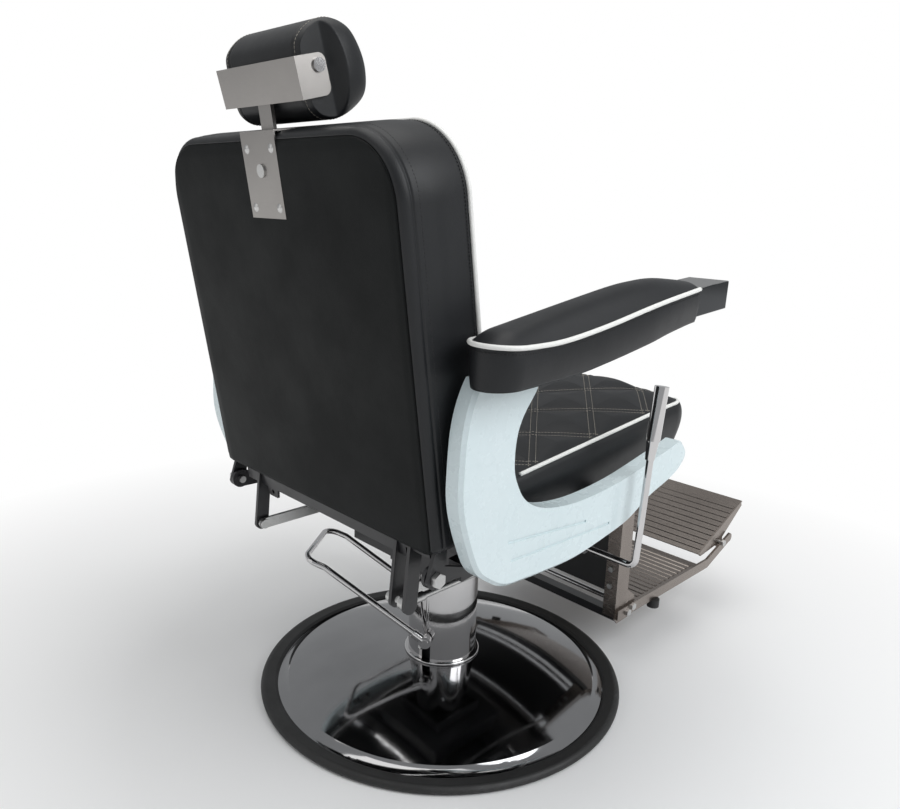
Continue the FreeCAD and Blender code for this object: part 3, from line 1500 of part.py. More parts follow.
def make_turn_tread():
    half = leg_half_width - 3
    place = turn_tread_place()
    plate = ribbed_plate(turn_tread_length, half, tread_gauge, rib_height, rib_pitch)
    pivot = place.inverse().multVec(V(0, -turn_pivot_y, turn_pivot_z))
    cheek = [(-4, -tread_gauge + 1), (-turn_tread_length + 4, -tread_gauge + 1), (-turn_tread_length + 4, -10),
             (pivot.y - 14, pivot.z + 2), ((pivot.y, pivot.z - 12), (pivot.y + 14, pivot.z + 2)), (-4, -10)]
    for side in (1, -1):
        x0 = half - 4 if side > 0 else -half
        piece = slab(cheek, "YZ", x0, 4)
        piece = piece.cut(bar((x0 - 5, pivot.y, pivot.z), (1, 0, 0), 5 + running_gap, 20))
        plate = plate.fuse(piece)
    feature = shaped("turn_tread", plate.removeSplitter())
    feature.Placement = place
    keep(feature)
    pins = []
    for side in (1, -1):
        x0 = leg_half_width + 5
        inner = bar((side * (half - 10), -turn_pivot_y, turn_pivot_z), (side, 0, 0), 5, 12.5)
        neck = bar((side * (half + 2), -turn_pivot_y, turn_pivot_z), (side, 0, 0), 4, x0 + 3 - half - 2)
        head = hex_prism((side * x0, -turn_pivot_y, turn_pivot_z), (side, 0, 0), 13, 5)
        pins.append(inner.fuse(neck).fuse(head).removeSplitter())
    keep(several("turn_pins", pins))


# ---- linkage

def make_links():
    front = (-leg_pivot_y, leg_pivot_z - lever_drop)
    rear = (back_pivot_y, back_pivot_z - lever_drop)
    links = []
    pins_front = []
    pins_rear = []
    for side in (1, -1):
        x0 = side * link_x - link_gauge / 2
        path = [(front[0], front[1] - 9), (rear[0], rear[1] - 9), ((rear[0] + 9, rear[1]), (rear[0], rear[1] + 9)),
                (front[0], front[1] + 9), ((front[0] - 9, front[1]), (front[0], front[1] - 9))]
        link = slab(path, "YZ", x0, link_gauge)
        for y, z in (front, rear):
            link = link.cut(bar((x0 - 5, y, z), (1, 0, 0), 5 + running_gap, 20))
        links.append(link)
        inner = link_x - link_gauge / 2 - 1
        pin = bar((side * inner, front[0], front[1]), (side, 0, 0), 5, leg_half_width - inner)
        head = bar((side * (inner - 3), front[0], front[1]), (side, 0, 0), 8, 3)
        pins_front.append(pin.fuse(head).removeSplitter())
        lever_outer = link_x + link_gauge / 2 + play + link_gauge
        pin = bar((side * inner, rear[0], rear[1]), (side, 0, 0), 5, lever_outer - inner)
        head = bar((side * (inner - 3), rear[0], rear[1]), (side, 0, 0), 8, 3)
        pins_rear.append(pin.fuse(head).removeSplitter())
    keep(several("link_bars", links))
    keep(several("link_pins_front", pins_front))
    keep(several("link_pins_rear", pins_rear))


def strut_ends():
    front = V(-strut_x, -strut_front_y, carrier_top(-strut_front_y) - 54)
    rear = V(-strut_x, back_pivot_y, back_pivot_z - lever_drop)
    return front, rear


def make_strut():
    front, rear = strut_ends()
    along = (rear - front).normalize()
    eye = bar((-strut_x - strut_radius, front.y, front.z), (1, 0, 0), 9, 2 * strut_radius)
    barrel = bar(tuple(front + along * 9), tuple(along), strut_radius, 160)
    bore = bar(tuple(front + along * 20), tuple(along), strut_rod_radius + running_gap, 160)
    hole = bar((-strut_x - 20, front.y, front.z), (1, 0, 0), 5 + running_gap, 40)
    keep(shaped("strut_cylinder", eye.fuse(barrel).cut(bore).cut(hole).removeSplitter()))
    length = (rear - front).Length
    start = 100.0
    rod = bar(tuple(front + along * start), tuple(along), strut_rod_radius, length - start - 6)
    end_eye = bar((-strut_x - 5, rear.y, rear.z), (1, 0, 0), 10, 10)
    collar = bar(tuple(front + along * (length - 34)), tuple(along), 7, 28)
    keep(shaped("strut_rod", rod.fuse(end_eye).fuse(collar).removeSplitter()))

    pin = bar((-strut_x - 18, front.y, front.z), (1, 0, 0), 5, 36)
    keep(shaped("strut_pin", pin))


def strut_lugs():
    # Two lugs under a strap that runs from the rail to the carrier.
    front, rear = strut_ends()
    y = front.y
    low, high = frame_w()
    plates = [Part.makeBox(rail_half_span - 5 - carrier_width / 2, 40, 5,
                           V(-rail_half_span + 5, -strut_front_y - 20, low - 5))]
    plates[0].Placement = seat_frame_place.multiply(plates[0].Placement)
    half = strut_radius + play / 2
    for x0 in (-strut_x - half - 5, -strut_x + half):
        path = [(y - 16, carrier_top(y - 16) - 2), (y + 16, carrier_top(y + 16) - 2), (y + 11, front.z),
                ((y, front.z - 11), (y - 11, front.z))]
        plate = slab(path, "YZ", x0, 5)
        plates.append(plate.cut(bar((x0 - 3, y, front.z), (1, 0, 0), 5, 12)))
    return plates


# ---- recline lever

def make_lever():
    inner = strut_x - strut_radius + 2
    x = -lever_x
    grip_low = (x, -lever_y - 17, lever_z + 202)
    grip_top = (x, -lever_y - 28, lever_z + 286)
    points = [(-inner - 6, -lever_y, lever_z), (x, -lever_y, lever_z), (x, -lever_y - 3, lever_z + 108), grip_low]
    rod = rod_along([points[0], points[1], points[3]], lever_rod_radius, 14)
    axis = (V(*grip_top) - V(*grip_low)).normalize()
    cone = Part.makeCone(lever_rod_radius + 1.5, grip_radius - 1.5, 30, V(*grip_low) - axis * 30, axis)
    tube = Part.makeCylinder(grip_radius, 84, V(*grip_low), axis)
    rod_heading = (V(*points[3]) - V(*points[1])).normalize()
    bore = Part.makeCylinder(lever_rod_radius, 50, V(*grip_low) - rod_heading * 50, rod_heading)
    keep(shaped("lever_grip", cone.fuse(tube).cut(bore).removeSplitter()))

    tab_x = -strut_x - 3
    tab = slab([(-lever_y - 9, lever_z - 9), (-lever_y + 9, lever_z - 9), (-lever_y + 9, lever_z + 9),
                (-lever_y - 9, lever_z + 9)], "YZ", tab_x, 6)
    keep(shaped("lever_rod", rod.fuse(tab).removeSplitter()))


def lever_lugs():
    lugs = []
    for x0 in (-rail_half_span + 2, -rail_half_span + 17):
        y = -lever_y
        path = [(y - 15, carrier_top(y - 15)), (y + 15, carrier_top(y + 15)), (y + 11, lever_z),
                ((y, lever_z - 11), (y - 11, lever_z))]
        lug = slab(path, "YZ", x0, 5)
        lugs.append(lug.cut(bar((x0 - 3, y, lever_z), (1, 0, 0), lever_rod_radius + running_gap, 12)))
    return lugs


make_base_ring()
make_base_dome()
make_floor_plate()
make_pump_body()
make_flange_bolts()
make_column_cover()
make_dust_cap()
make_pedal()
make_rocker()
make_ram()
make_carrier()
make_seat_frame()
make_frame_bolts()
make_seat_board()
make_seat_cushion()
make_seat_piping()
make_side_frames()
make_arm_pads()
make_arm_caps()
make_back_cushion()
make_back_panel()
make_back_frame()
make_back_piping()
make_headrest_guide()
make_guide_screws()
make_lock_button()
make_post_channel()
make_post()
make_headrest_bracket()
make_headrest_pad()
make_head_pivots()
make_leg_plates()
make_calf_panel()
make_leg_bars()
make_platform_arms()
make_lower_tread()
make_rubber_feet()
make_turn_tread()
make_links()
make_strut()
make_lever()

doc.recompute()

failed = [obj.Label for obj in doc.Objects if "Invalid" in obj.State or "Error" in obj.State]
for node in nodes:
    if node.Shape.isNull() or not node.Shape.Solids or not node.Shape.isValid():
        failed.append(node.Label)
if failed:
    raise RuntimeError("failed objects: " + ", ".join(failed))
for node in nodes:
    node.Shape.exportStep("parts/%s.step" % node.Label)
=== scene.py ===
import math

import bmesh
import bpy
import numpy as np
from mathutils import Matrix, Vector


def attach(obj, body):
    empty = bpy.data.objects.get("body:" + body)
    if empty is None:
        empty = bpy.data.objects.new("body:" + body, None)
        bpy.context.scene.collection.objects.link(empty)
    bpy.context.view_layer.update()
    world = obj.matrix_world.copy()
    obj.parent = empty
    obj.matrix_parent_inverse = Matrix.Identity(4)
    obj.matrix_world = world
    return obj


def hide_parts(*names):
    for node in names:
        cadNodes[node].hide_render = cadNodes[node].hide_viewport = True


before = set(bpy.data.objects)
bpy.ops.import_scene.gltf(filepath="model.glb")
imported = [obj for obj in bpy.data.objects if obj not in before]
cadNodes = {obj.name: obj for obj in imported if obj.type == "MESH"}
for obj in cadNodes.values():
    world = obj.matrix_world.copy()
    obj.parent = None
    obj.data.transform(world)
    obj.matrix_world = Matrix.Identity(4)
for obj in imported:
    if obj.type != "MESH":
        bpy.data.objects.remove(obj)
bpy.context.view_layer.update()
print("frame loaded:", len(cadNodes), "nodes")

# Local frames of the tilted parts: foot of each in mm, and its lean about X in degrees.
seatPlace = {"foot": (0.0, 0.0, 495.0), "tilt": 6.9}
backPlace = {"foot": (0.0, 279.0, 411.0), "tilt": 9.34}
headPlace = {"foot": (0.0, 355.39, 974.07), "tilt": 15.4}


def placed(points, place):
    # x stays, y' = foot + y cos t + z sin t, z' = foot - y sin t + z cos t, then mm to metres.
    t = math.radians(place["tilt"])
    x = points[..., 0] + place["foot"][0]
    y = place["foot"][1] + points[..., 1] * math.cos(t) + points[..., 2] * math.sin(t)
    z = place["foot"][2] - points[..., 1] * math.sin(t) + points[..., 2] * math.cos(t)
    return np.stack([x, y, z], -1) / 1000


def gridQuads(rows, cols, wrap=False, start=0):
    # Quad (i, j), (i, j+1), (i+1, j+1), (i+1, j) for each cell; wrapped, the last column joins the first.
    i, j = np.meshgrid(np.arange(rows - 1), np.arange(cols if wrap else cols - 1), indexing="ij")
    k = (j + 1) % cols
    quads = np.stack([i * cols + j, i * cols + k, (i + 1) * cols + k, (i + 1) * cols + j], -1)
    return quads.reshape(-1, 4) + start


def makeMesh(name, points, quads, finish, weld=1e-6):
    mesh = bpy.data.meshes.new(name)
    mesh.from_pydata(points.reshape(-1, 3).tolist(), [], quads.tolist())
    work = bmesh.new()
    work.from_mesh(mesh)
    bmesh.ops.remove_doubles(work, verts=work.verts, dist=weld)
    bmesh.ops.recalc_face_normals(work, faces=work.faces)
    work.to_mesh(mesh)
    work.free()
    mesh.polygons.foreach_set("use_smooth", np.ones(len(mesh.polygons), bool))
    mesh.materials.append(finish)
    piece = bpy.data.objects.new(name, mesh)
    bpy.context.scene.collection.objects.link(piece)
    return piece


def smoothStep(value, low, high):
    t = np.clip((value - low) / (high - low), 0, 1)
    return t * t * (3 - 2 * t)


def smoothCurve(points, count, closed=False):
    # Catmull-Rom: p(t) = ((2b) + (c-a)t + (2a-5b+4c-d)t2 + (3b-a-3c+d)t3) / 2 through each four neighbours.
    points = np.asarray(points, float)
    if closed:
        around = np.concatenate([points[-1:], points, points[:2]])
    else:
        around = np.concatenate([2 * points[:1] - points[1:2], points, 2 * points[-1:] - points[-2:-1]])
    spans = len(around) - 3
    s = np.linspace(0, spans, count, endpoint=not closed)
    i = np.minimum(s.astype(int), spans - 1)
    t = (s - i)[:, None]
    a, b, c, d = around[i], around[i + 1], around[i + 2], around[i + 3]
    return (2 * b + (c - a) * t + (2 * a - 5 * b + 4 * c - d) * t ** 2 + (3 * b - a - 3 * c + d) * t ** 3) / 2


def unit(vectors):
    return vectors / np.maximum(np.linalg.norm(vectors, axis=-1, keepdims=True), 1e-12)


def tubeSurface(path, radius, up, sides=16):
    # Point = path + radius (cos a * side + sin a * top), side = tangent x up, top = side x tangent.
    # Both ends are drawn to a point.
    tangent = unit(np.gradient(path, axis=0))
    side = unit(np.cross(tangent, up))
    top = np.cross(side, tangent)
    a = np.linspace(0, 2 * np.pi, sides, endpoint=False)
    ring = np.cos(a)[None, :, None] * side[:, None] + np.sin(a)[None, :, None] * top[:, None]
    full = path[:, None] + radius * ring
    ends = [np.repeat(path[k][None, None], sides, axis=1) for k in (0, -1)]
    grid = np.concatenate([ends[0], full, ends[1]])
    return grid, gridQuads(len(grid), sides, wrap=True)


def alongPath(path, step):
    # Points every step along the path's own length.
    length = np.concatenate([[0], np.cumsum(np.linalg.norm(np.diff(path, axis=0), axis=1))])
    at = np.arange(step / 2, length[-1], step)
    return np.stack([np.interp(at, length, path[:, k]) for k in range(3)], -1)


def stitchRows(name, rows, finish, sizes):
    # Each stitch = centre + tangent x + side y + up z of one small ellipsoid, repeated along the rows.
    centres, heads, tops = [], [], []
    for path, normals in rows:
        spots = alongPath(path, sizes["pitch"])
        if len(spots) < 2:
            continue
        ahead = unit(np.gradient(spots, axis=0))
        nearest = np.argmin(((spots[:, None] - path[None]) ** 2).sum(-1), axis=1)
        centres.append(spots)
        heads.append(ahead)
        tops.append(unit(normals[nearest]))
    centre, ahead, top = np.concatenate(centres), np.concatenate(heads), np.concatenate(tops)
    side = unit(np.cross(ahead, top))
    lat = np.linspace(-np.pi / 2, np.pi / 2, 6)
    lon = np.linspace(0, 2 * np.pi, 6, endpoint=False)
    shape = np.stack([np.sin(lat)[:, None] * np.ones(6) * sizes["length"] / 2,
                      np.cos(lat)[:, None] * np.cos(lon) * sizes["width"] / 2,
                      np.cos(lat)[:, None] * np.sin(lon) * sizes["width"] / 2], -1)
    flat = shape.reshape(-1, 3)
    points = (centre[:, None] + flat[None, :, :1] * ahead[:, None] + flat[None, :, 1:2] * side[:, None]
              + flat[None, :, 2:] * top[:, None] + sizes["rise"] * top[:, None])
    quads = gridQuads(6, 6, wrap=True)
    every = (quads[None] + (np.arange(len(centre)) * 36)[:, None, None]).reshape(-1, 4)
    return makeMesh(name, points, every, finish)


# ---- finishes

def startMaterial(name):
    material = bpy.data.materials.new(name)
    material.use_nodes = True
    tree = material.node_tree
    coords = tree.nodes.new("ShaderNodeTexCoord").outputs["Object"]
    return material, tree, tree.nodes["Principled BSDF"], coords


def addNode(tree, kind, inputs, **settings):
    node = tree.nodes.new(kind)
    for key, value in settings.items():
        setattr(node, key, value)
    for key, value in inputs.items():
        if isinstance(value, bpy.types.NodeSocket):
            tree.links.new(value, node.inputs[key])
        else:
            node.inputs[key].default_value = value
    return node


def noiseOf(tree, coords, scale, detail=4.0, roughness=0.55, stretch=None):
    if stretch:
        coords = addNode(tree, "ShaderNodeMapping", {"Vector": coords, "Scale": stretch}).outputs["Vector"]
    inputs = {"Vector": coords, "Scale": scale, "Detail": detail, "Roughness": roughness}
    return addNode(tree, "ShaderNodeTexNoise", inputs).outputs["Fac"]


def rangeOf(tree, value, low, high, outLow, outHigh):
    return addNode(tree, "ShaderNodeMapRange", {"Value": value, "From Min": low, "From Max": high,
                                                "To Min": outLow, "To Max": outHigh}).outputs["Result"]


def tintOf(tree, factor, first, second):
    node = tree.nodes.new("ShaderNodeMix")
    node.data_type = "RGBA"
    tree.links.new(factor, node.inputs["Factor"])
    node.inputs[6].default_value = (*first, 1)
    node.inputs[7].default_value = (*second, 1)
    return node.outputs[2]


def bumpOf(tree, height, strength, distance, under=None):
    inputs = {"Height": height, "Strength": strength, "Distance": distance}
    if under:
        inputs["Normal"] = under
    return addNode(tree, "ShaderNodeBump", inputs).outputs["Normal"]


def leatherFinish(name, dark, light, rough, shine):
    # Fine pebble grain from cells, broader creases from noise, and a little polish where the cover is rubbed.
    material, tree, shader, coords = startMaterial(name)
    broad = noiseOf(tree, coords, 9.0, 5.0)
    fine = noiseOf(tree, coords, 420.0, 3.0)
    pores = addNode(tree, "ShaderNodeTexVoronoi", {"Vector": coords, "Scale": 820.0}, feature="F1")
    cells = pores.outputs["Distance"]
    tone = rangeOf(tree, broad, 0.35, 0.7, 0.0, 1.0)
    tree.links.new(tintOf(tree, tone, dark, light), shader.inputs["Base Color"])
    tree.links.new(rangeOf(tree, broad, 0.3, 0.7, rough + 0.05, rough - 0.05), shader.inputs["Roughness"])
    creases = bumpOf(tree, noiseOf(tree, coords, 55.0, 4.0), 0.12, 0.002)
    pebbles = bumpOf(tree, cells, 0.22, 0.00035, creases)
    tree.links.new(bumpOf(tree, fine, 0.1, 0.0002, pebbles), shader.inputs["Normal"])
    shader.inputs["Specular IOR Level"].default_value = shine
    return material


def paintFinish(name, colour, shade, rough, coat, peel):
    # Sprayed paint: faint colour drift, a shallow orange-peel ripple under the gloss.
    material, tree, shader, coords = startMaterial(name)
    drift = noiseOf(tree, coords, 7.0, 3.0)
    tone = rangeOf(tree, drift, 0.3, 0.7, 0.0, 1.0)
    smear = noiseOf(tree, coords, 40.0, 4.0)
    tree.links.new(tintOf(tree, tone, colour, shade), shader.inputs["Base Color"])
    tree.links.new(rangeOf(tree, smear, 0.3, 0.7, rough, rough + 0.07), shader.inputs["Roughness"])
    tree.links.new(bumpOf(tree, noiseOf(tree, coords, 260.0, 2.0), peel, 0.0004), shader.inputs["Normal"])
    shader.inputs["Coat Weight"].default_value = coat
    shader.inputs["Coat Roughness"].default_value = 0.12
    return material


def metalFinish(name, bright, toneShift, rough, spread, stretch=(1, 1, 1), scratch=0.05, scale=60.0):
    # Metal: tone drifts between two colours, and hairlines follow the stretch.
    material, tree, shader, coords = startMaterial(name)
    drift = noiseOf(tree, coords, 6.0, 4.0)
    lines = noiseOf(tree, coords, scale, 6.0, 0.65, stretch)
    tone = rangeOf(tree, drift, 0.35, 0.7, 0.0, 1.0)
    tree.links.new(tintOf(tree, tone, bright, toneShift), shader.inputs["Base Color"])
    tree.links.new(rangeOf(tree, lines, 0.3, 0.7, rough, rough + spread), shader.inputs["Roughness"])
    tree.links.new(bumpOf(tree, lines, scratch, 0.0003), shader.inputs["Normal"])
    shader.inputs["Metallic"].default_value = 1.0
    return material


def plainFinish(name, colour, shade, rough, grain, scale):
    # Moulded or cast stuff: speckled tone and a matt, slightly pitted skin.
    material, tree, shader, coords = startMaterial(name)
    speck = noiseOf(tree, coords, scale, 6.0, 0.7)
    tone = rangeOf(tree, speck, 0.35, 0.65, 0.0, 1.0)
    smear = noiseOf(tree, coords, 25.0, 3.0)
    tree.links.new(tintOf(tree, tone, colour, shade), shader.inputs["Base Color"])
    tree.links.new(rangeOf(tree, smear, 0.3, 0.7, rough, rough + 0.12), shader.inputs["Roughness"])
    tree.links.new(bumpOf(tree, speck, grain, 0.0005), shader.inputs["Normal"])
    return material


def plyFinish(name):
    # Birch ply: long grain along Y, thin veneer lines across the edge.
    material, tree, shader, coords = startMaterial(name)
    grain = noiseOf(tree, coords, 30.0, 6.0, 0.6, (6.0, 0.6, 6.0))
    veneer = {"Vector": coords, "Scale": 110.0, "Distortion": 0.6}
    layers = addNode(tree, "ShaderNodeTexWave", veneer, bands_direction="Z").outputs["Fac"]
    both = addNode(tree, "ShaderNodeMath", {0: grain, 1: layers}, operation="MULTIPLY").outputs[0]
    tree.links.new(tintOf(tree, both, (0.34, 0.23, 0.13), (0.56, 0.42, 0.27)), shader.inputs["Base Color"])
    tree.links.new(rangeOf(tree, grain, 0.3, 0.7, 0.55, 0.7), shader.inputs["Roughness"])
    tree.links.new(bumpOf(tree, grain, 0.15, 0.0005), shader.inputs["Normal"])
    return material


def capFinish(name):
    # Polished dark sides, and a top dulled by hands and painted lighter as a painted highlight from above: tone and
    # roughness follow the surface's upward lean.
    material, tree, shader, coords = startMaterial(name)
    facing = addNode(tree, "ShaderNodeNewGeometry", {}).outputs["Normal"]
    lean = addNode(tree, "ShaderNodeSeparateXYZ", {"Vector": facing}).outputs["Z"]
    smear = noiseOf(tree, coords, 35.0, 4.0)
    toneShift = addNode(tree, "ShaderNodeMath", {0: lean, 1: smear, 2: 0.2}, operation="MULTIPLY_ADD").outputs[0]
    top = rangeOf(tree, toneShift, 0.45, 0.62, 0.0, 1.0)
    # Painted highlight: the light grey on the top and the near-black on the sides are chosen by the surface's upward
    # lean.
    tree.links.new(tintOf(tree, top, (0.045, 0.048, 0.052), (0.34, 0.34, 0.34)), shader.inputs["Base Color"])
    tree.links.new(rangeOf(tree, top, 0.0, 1.0, 0.1, 0.36), shader.inputs["Roughness"])
    tree.links.new(bumpOf(tree, smear, 0.02, 0.0004), shader.inputs["Normal"])
    shader.inputs["Metallic"].default_value = 1.0
    return material


leather = leatherFinish("black leather", (0.0085, 0.0095, 0.011), (0.0125, 0.0135, 0.0155), 0.45, 0.36)
# The rear panel's leather is a darker copy of the black leather: the darker colour is painted shade, for the dark
# surroundings the panel faces; it is also rougher and less shiny.
shadedPanelLeather = leatherFinish("rear panel leather painted darker", (0.0035, 0.0045, 0.0047), (0.0055, 0.0068, 0.007),
                             0.56, 0.16)
pipingVinyl = plainFinish("white piping vinyl", (0.80, 0.80, 0.77), (0.86, 0.86, 0.84), 0.38, 0.06, 300.0)
paleThread = plainFinish("pale thread", (0.30, 0.27, 0.23), (0.42, 0.39, 0.34), 0.7, 0.3, 2500.0)
blackThread = plainFinish("black thread", (0.004, 0.004, 0.005), (0.012, 0.012, 0.014), 0.6, 0.3, 2500.0)
enamel = paintFinish("pale enamel", (0.655, 0.765, 0.79), (0.69, 0.79, 0.815), 0.24, 0.45, 0.05)
blackPaint = paintFinish("black satin paint", (0.012, 0.012, 0.014), (0.018, 0.018, 0.02), 0.36, 0.15, 0.12)
mirrorChrome = metalFinish("mirror chrome", (0.62, 0.61, 0.61), (0.56, 0.555, 0.56), 0.035, 0.05,
                           scratch=0.008)
# The dome's chrome is the mirror chrome painted darker: its low reflecting colour is painted shade, for the dim
# surroundings the dome reflects.
shadedDomeChrome = metalFinish("dome chrome painted darker", (0.34, 0.34, 0.345), (0.29, 0.29, 0.295), 0.06, 0.05, scratch=0.008)
capChrome = capFinish("dark chrome cap")
satinSteel = metalFinish("satin steel", (0.35, 0.335, 0.32), (0.30, 0.285, 0.275), 0.27, 0.1,
                         (1.0, 14.0, 14.0), 0.08, 90.0)
warmSteel = metalFinish("warm polished steel", (0.30, 0.265, 0.24), (0.25, 0.22, 0.20), 0.24, 0.08,
                        (1.0, 10.0, 10.0), 0.03, 70.0)
zincSteel = metalFinish("zinc plate", (0.58, 0.58, 0.57), (0.46, 0.46, 0.46), 0.25, 0.15,
                        scratch=0.08, scale=300.0)
ironCast = plainFinish("black cast iron", (0.02, 0.02, 0.022), (0.035, 0.035, 0.037), 0.5, 0.5, 380.0)
edgeRubber = plainFinish("black rubber", (0.011, 0.011, 0.011), (0.018, 0.018, 0.018), 0.48, 0.12, 500.0)
blackPlastic = plainFinish("black plastic", (0.012, 0.012, 0.013), (0.018, 0.018, 0.019), 0.42, 0.18, 700.0)
plainBrass = metalFinish("plain brass", (0.62, 0.46, 0.20), (0.5, 0.36, 0.16), 0.22, 0.1)
plywood = plyFinish("birch ply")

finishes = {
    shadedDomeChrome: ["base_dome"],
    mirrorChrome: ["column_cover", "pedal_rod", "pedal_knuckles", "pedal_studs", "ram", "leg_cross_rod",
                   "lever_rod", "lever_grip", "headrest_pivots"],
    capChrome: ["arm_caps"],
    satinSteel: ["headrest_bracket", "headrest_guide", "headrest_post"],
    warmSteel: ["leg_plates", "platform_arms", "lower_tread", "turn_tread"],
    zincSteel: ["pedal_screws", "pump_rocker", "strut_rod", "strut_pin", "link_pins_front", "link_pins_rear",
                "frame_bolts", "flange_bolts", "pivot_bolts", "panel_bolts", "arm_bolts", "turn_pins",
                "guide_screws", "lock_button", "link_bars"],
    ironCast: ["pump_cylinder", "floor_plate"],
    edgeRubber: ["base_ring", "rubber_feet"],
    blackPaint: ["carrier_box", "seat_frame", "back_frame", "leg_cross_bar", "strut_cylinder",
                 "post_channel", "seat_board"],
    blackPlastic: ["dust_cap", "calf_panel"],
    enamel: ["side_frame_left", "side_frame_right"],
    plainBrass: ["thrust_washer"],
    plywood: ["arm_boards", "headrest_board"],
}
for finish, names in finishes.items():
    for name in names:
        node = cadNodes[name]
        node.data.materials.clear()
        node.data.materials.append(finish)
print("finishes on", sum(len(names) for names in finishes.values()), "frame nodes")


# ---- cushions on a square grid

def roundedPlan(a, b, plan):
    # The square [-1, 1] onto a rounded, tapering outline: straight grid, and each corner's square squeezed
    # to a quarter disc by p sqrt(1 - q2/2), q sqrt(1 - p2/2).
    half = (plan["y1"] - plan["y0"]) / 2
    middle = (plan["y1"] + plan["y0"]) / 2
    width = plan["x0"] + (plan["x1"] - plan["x0"]) * (b + 1) / 2
    radius = np.where(b > 0, plan["r1"], plan["r0"])
    x, y = np.abs(a) * width, np.abs(b) * half
    p = np.clip((x - width + radius) / radius, 0, 1)
    q = np.clip((y - half + radius) / radius, 0, 1)
    x = np.minimum(x, width - radius) + radius * p * np.sqrt(1 - q * q / 2)
    y = np.minimum(y, half - radius) + radius * q * np.sqrt(1 - p * p / 2)
    return np.sign(a) * x, middle + np.sign(b) * y


def ringOf(count):
    # Indices round the edge of a count x count grid.
    last = count - 1
    low = np.arange(last)
    return np.concatenate([low, low * count + last, last * count + (last - low), (last - low) * count])


def closedPad(name, plan, top, wall, floor, count, finish, place, axes):
    # A closed pad: top(x, y) over the plan, walls given as rows of (outward offset, height) down to floor,
    # and rows that draw in to the middle underneath.
    a, b = np.meshgrid(np.linspace(-1, 1, count), np.linspace(-1, 1, count))
    x, y = roundedPlan(a, b, plan)
    sheet = np.stack([x, y, top(x, y)], -1).reshape(-1, 3)
    rim = sheet[ringOf(count)]
    flow = np.roll(rim[:, :2], -1, 0) - np.roll(rim[:, :2], 1, 0)
    out = unit(np.stack([flow[:, 1], -flow[:, 0]], -1))
    offset, height = wall(rim)
    rows = np.concatenate([rim[None, :, :2] + offset[..., None] * out[None], height[..., None]], -1)
    middle = np.array([0.0, rim[:, 1].mean()])
    shrink = np.array([0.97, 0.9, 0.6, 0.0])[:, None, None]
    under = np.concatenate([middle + (rows[-1, :, :2] - middle) * shrink,
                            np.full((4, len(rim), 1), float(floor))], -1)
    loops = np.concatenate([rim[None], rows, under])
    points = np.concatenate([sheet, loops.reshape(-1, 3)])
    around = gridQuads(len(loops), len(rim), wrap=True, start=len(sheet))
    quads = np.concatenate([gridQuads(count, count), around])
    return makeMesh(name, placed(axes(points), place), quads, finish)


quilt = {"across": 122.0, "along": 146.0, "phase": 63.0, "pair": 5.0, "puff": 5.5, "groove": 1.5,
         "shoulder": 22.0, "crease": 2.4}
threadSizes = {"pitch": 0.0052, "length": 0.0042, "width": 0.0011, "rise": 0.0001}


def quiltLines(x, y, phase):
    # Two families of lines where (y - phase)/along +- x/across is whole: distance in mm to the nearest.
    step = 1 / math.hypot(1 / quilt["across"], 1 / quilt["along"])
    first = (y - phase) / quilt["along"] + x / quilt["across"]
    second = (y - phase) / quilt["along"] - x / quilt["across"]
    return np.minimum(np.abs(first - np.round(first)), np.abs(second - np.round(second))) * step


def quiltRelief(x, y, phase):
    # Diamonds puff (1 - exp(-(d/shoulder)2)), less a groove exp(-((d - pair)/crease)2) at each stitch line.
    d = quiltLines(x, y, phase)
    puffed = quilt["puff"] * (1 - np.exp(-(d / quilt["shoulder"]) ** 2))
    return puffed - quilt["groove"] * np.exp(-((d - quilt["pair"]) / quilt["crease"]) ** 2)


def quiltRows(plan, top, phase, place, axes, margin):
    # Stitch rows along both families of lines, laid on the quilted top and cut off at the outline.
    rows = []
    slope = quilt["along"] / quilt["across"]
    x = np.linspace(-300, 300, 601)
    for family in (1, -1):
        for number in range(-6, 8):
            for shift in (-quilt["pair"], quilt["pair"]):
                lift = shift * math.hypot(1, slope)
                y = phase + number * quilt["along"] + lift - family * x * slope
                share = (y - plan["y0"]) / (plan["y1"] - plan["y0"])
                half = plan["x0"] + (plan["x1"] - plan["x0"]) * share - margin
                cornerR = np.where(y > 0.5 * (plan["y0"] + plan["y1"]), plan["r1"], plan["r0"])
                px = np.maximum(np.abs(x) - (half - cornerR), 0)
                past = np.maximum(y - (plan["y1"] - margin - cornerR), plan["y0"] + margin + cornerR - y)
                py = np.maximum(past, 0)
                inside = (np.abs(x) < half) & (y > plan["y0"] + margin) & (y < plan["y1"] - margin)
                inside &= np.hypot(px, py) < cornerR
                if inside.sum() < 8:
                    continue
                xs, ys = x[inside], y[inside]
                flat = np.stack([xs, ys, top(xs, ys)], -1)
                e = 1.0
                slopeX = (top(xs + e, ys) - top(xs - e, ys)) / (2 * e)
                slopeY = (top(xs, ys + e) - top(xs, ys - e)) / (2 * e)
                normal = np.stack([-slopeX, -slopeY, np.ones_like(xs)], -1)
                tip = placed(axes(flat + unit(normal)), place)
                base = placed(axes(flat), place)
                rows.append((base, unit(tip - base)))
    return rows


# ---- seat cushion

seat = {"halfWidth": 255.4, "front": 345.0, "rear": 136.0, "boxing": 79.6, "crown": 22.0, "noseDrop": 38.0,
        "bulge": 9.0, "tuck": 6.0, "pipingRadius": 3.1, "grid": 300}
seatPlan = {"x0": seat["halfWidth"], "x1": seat["halfWidth"], "y0": -seat["front"], "y1": seat["rear"],
            "r0": 46, "r1": 22}


def seatNose(y):
    # 0 over the flat of the seat, growing to 1 at the front edge as 1 - (1 - q^2.4)^(1/2.4).
    q = np.clip((-y - (seat["front"] - 80)) / 80, 0, 1)
    return 1 - (1 - q ** 2.4) ** (1 / 2.4)


def seatSeam(y):
    return 0.5 - 14.0 * seatNose(y)


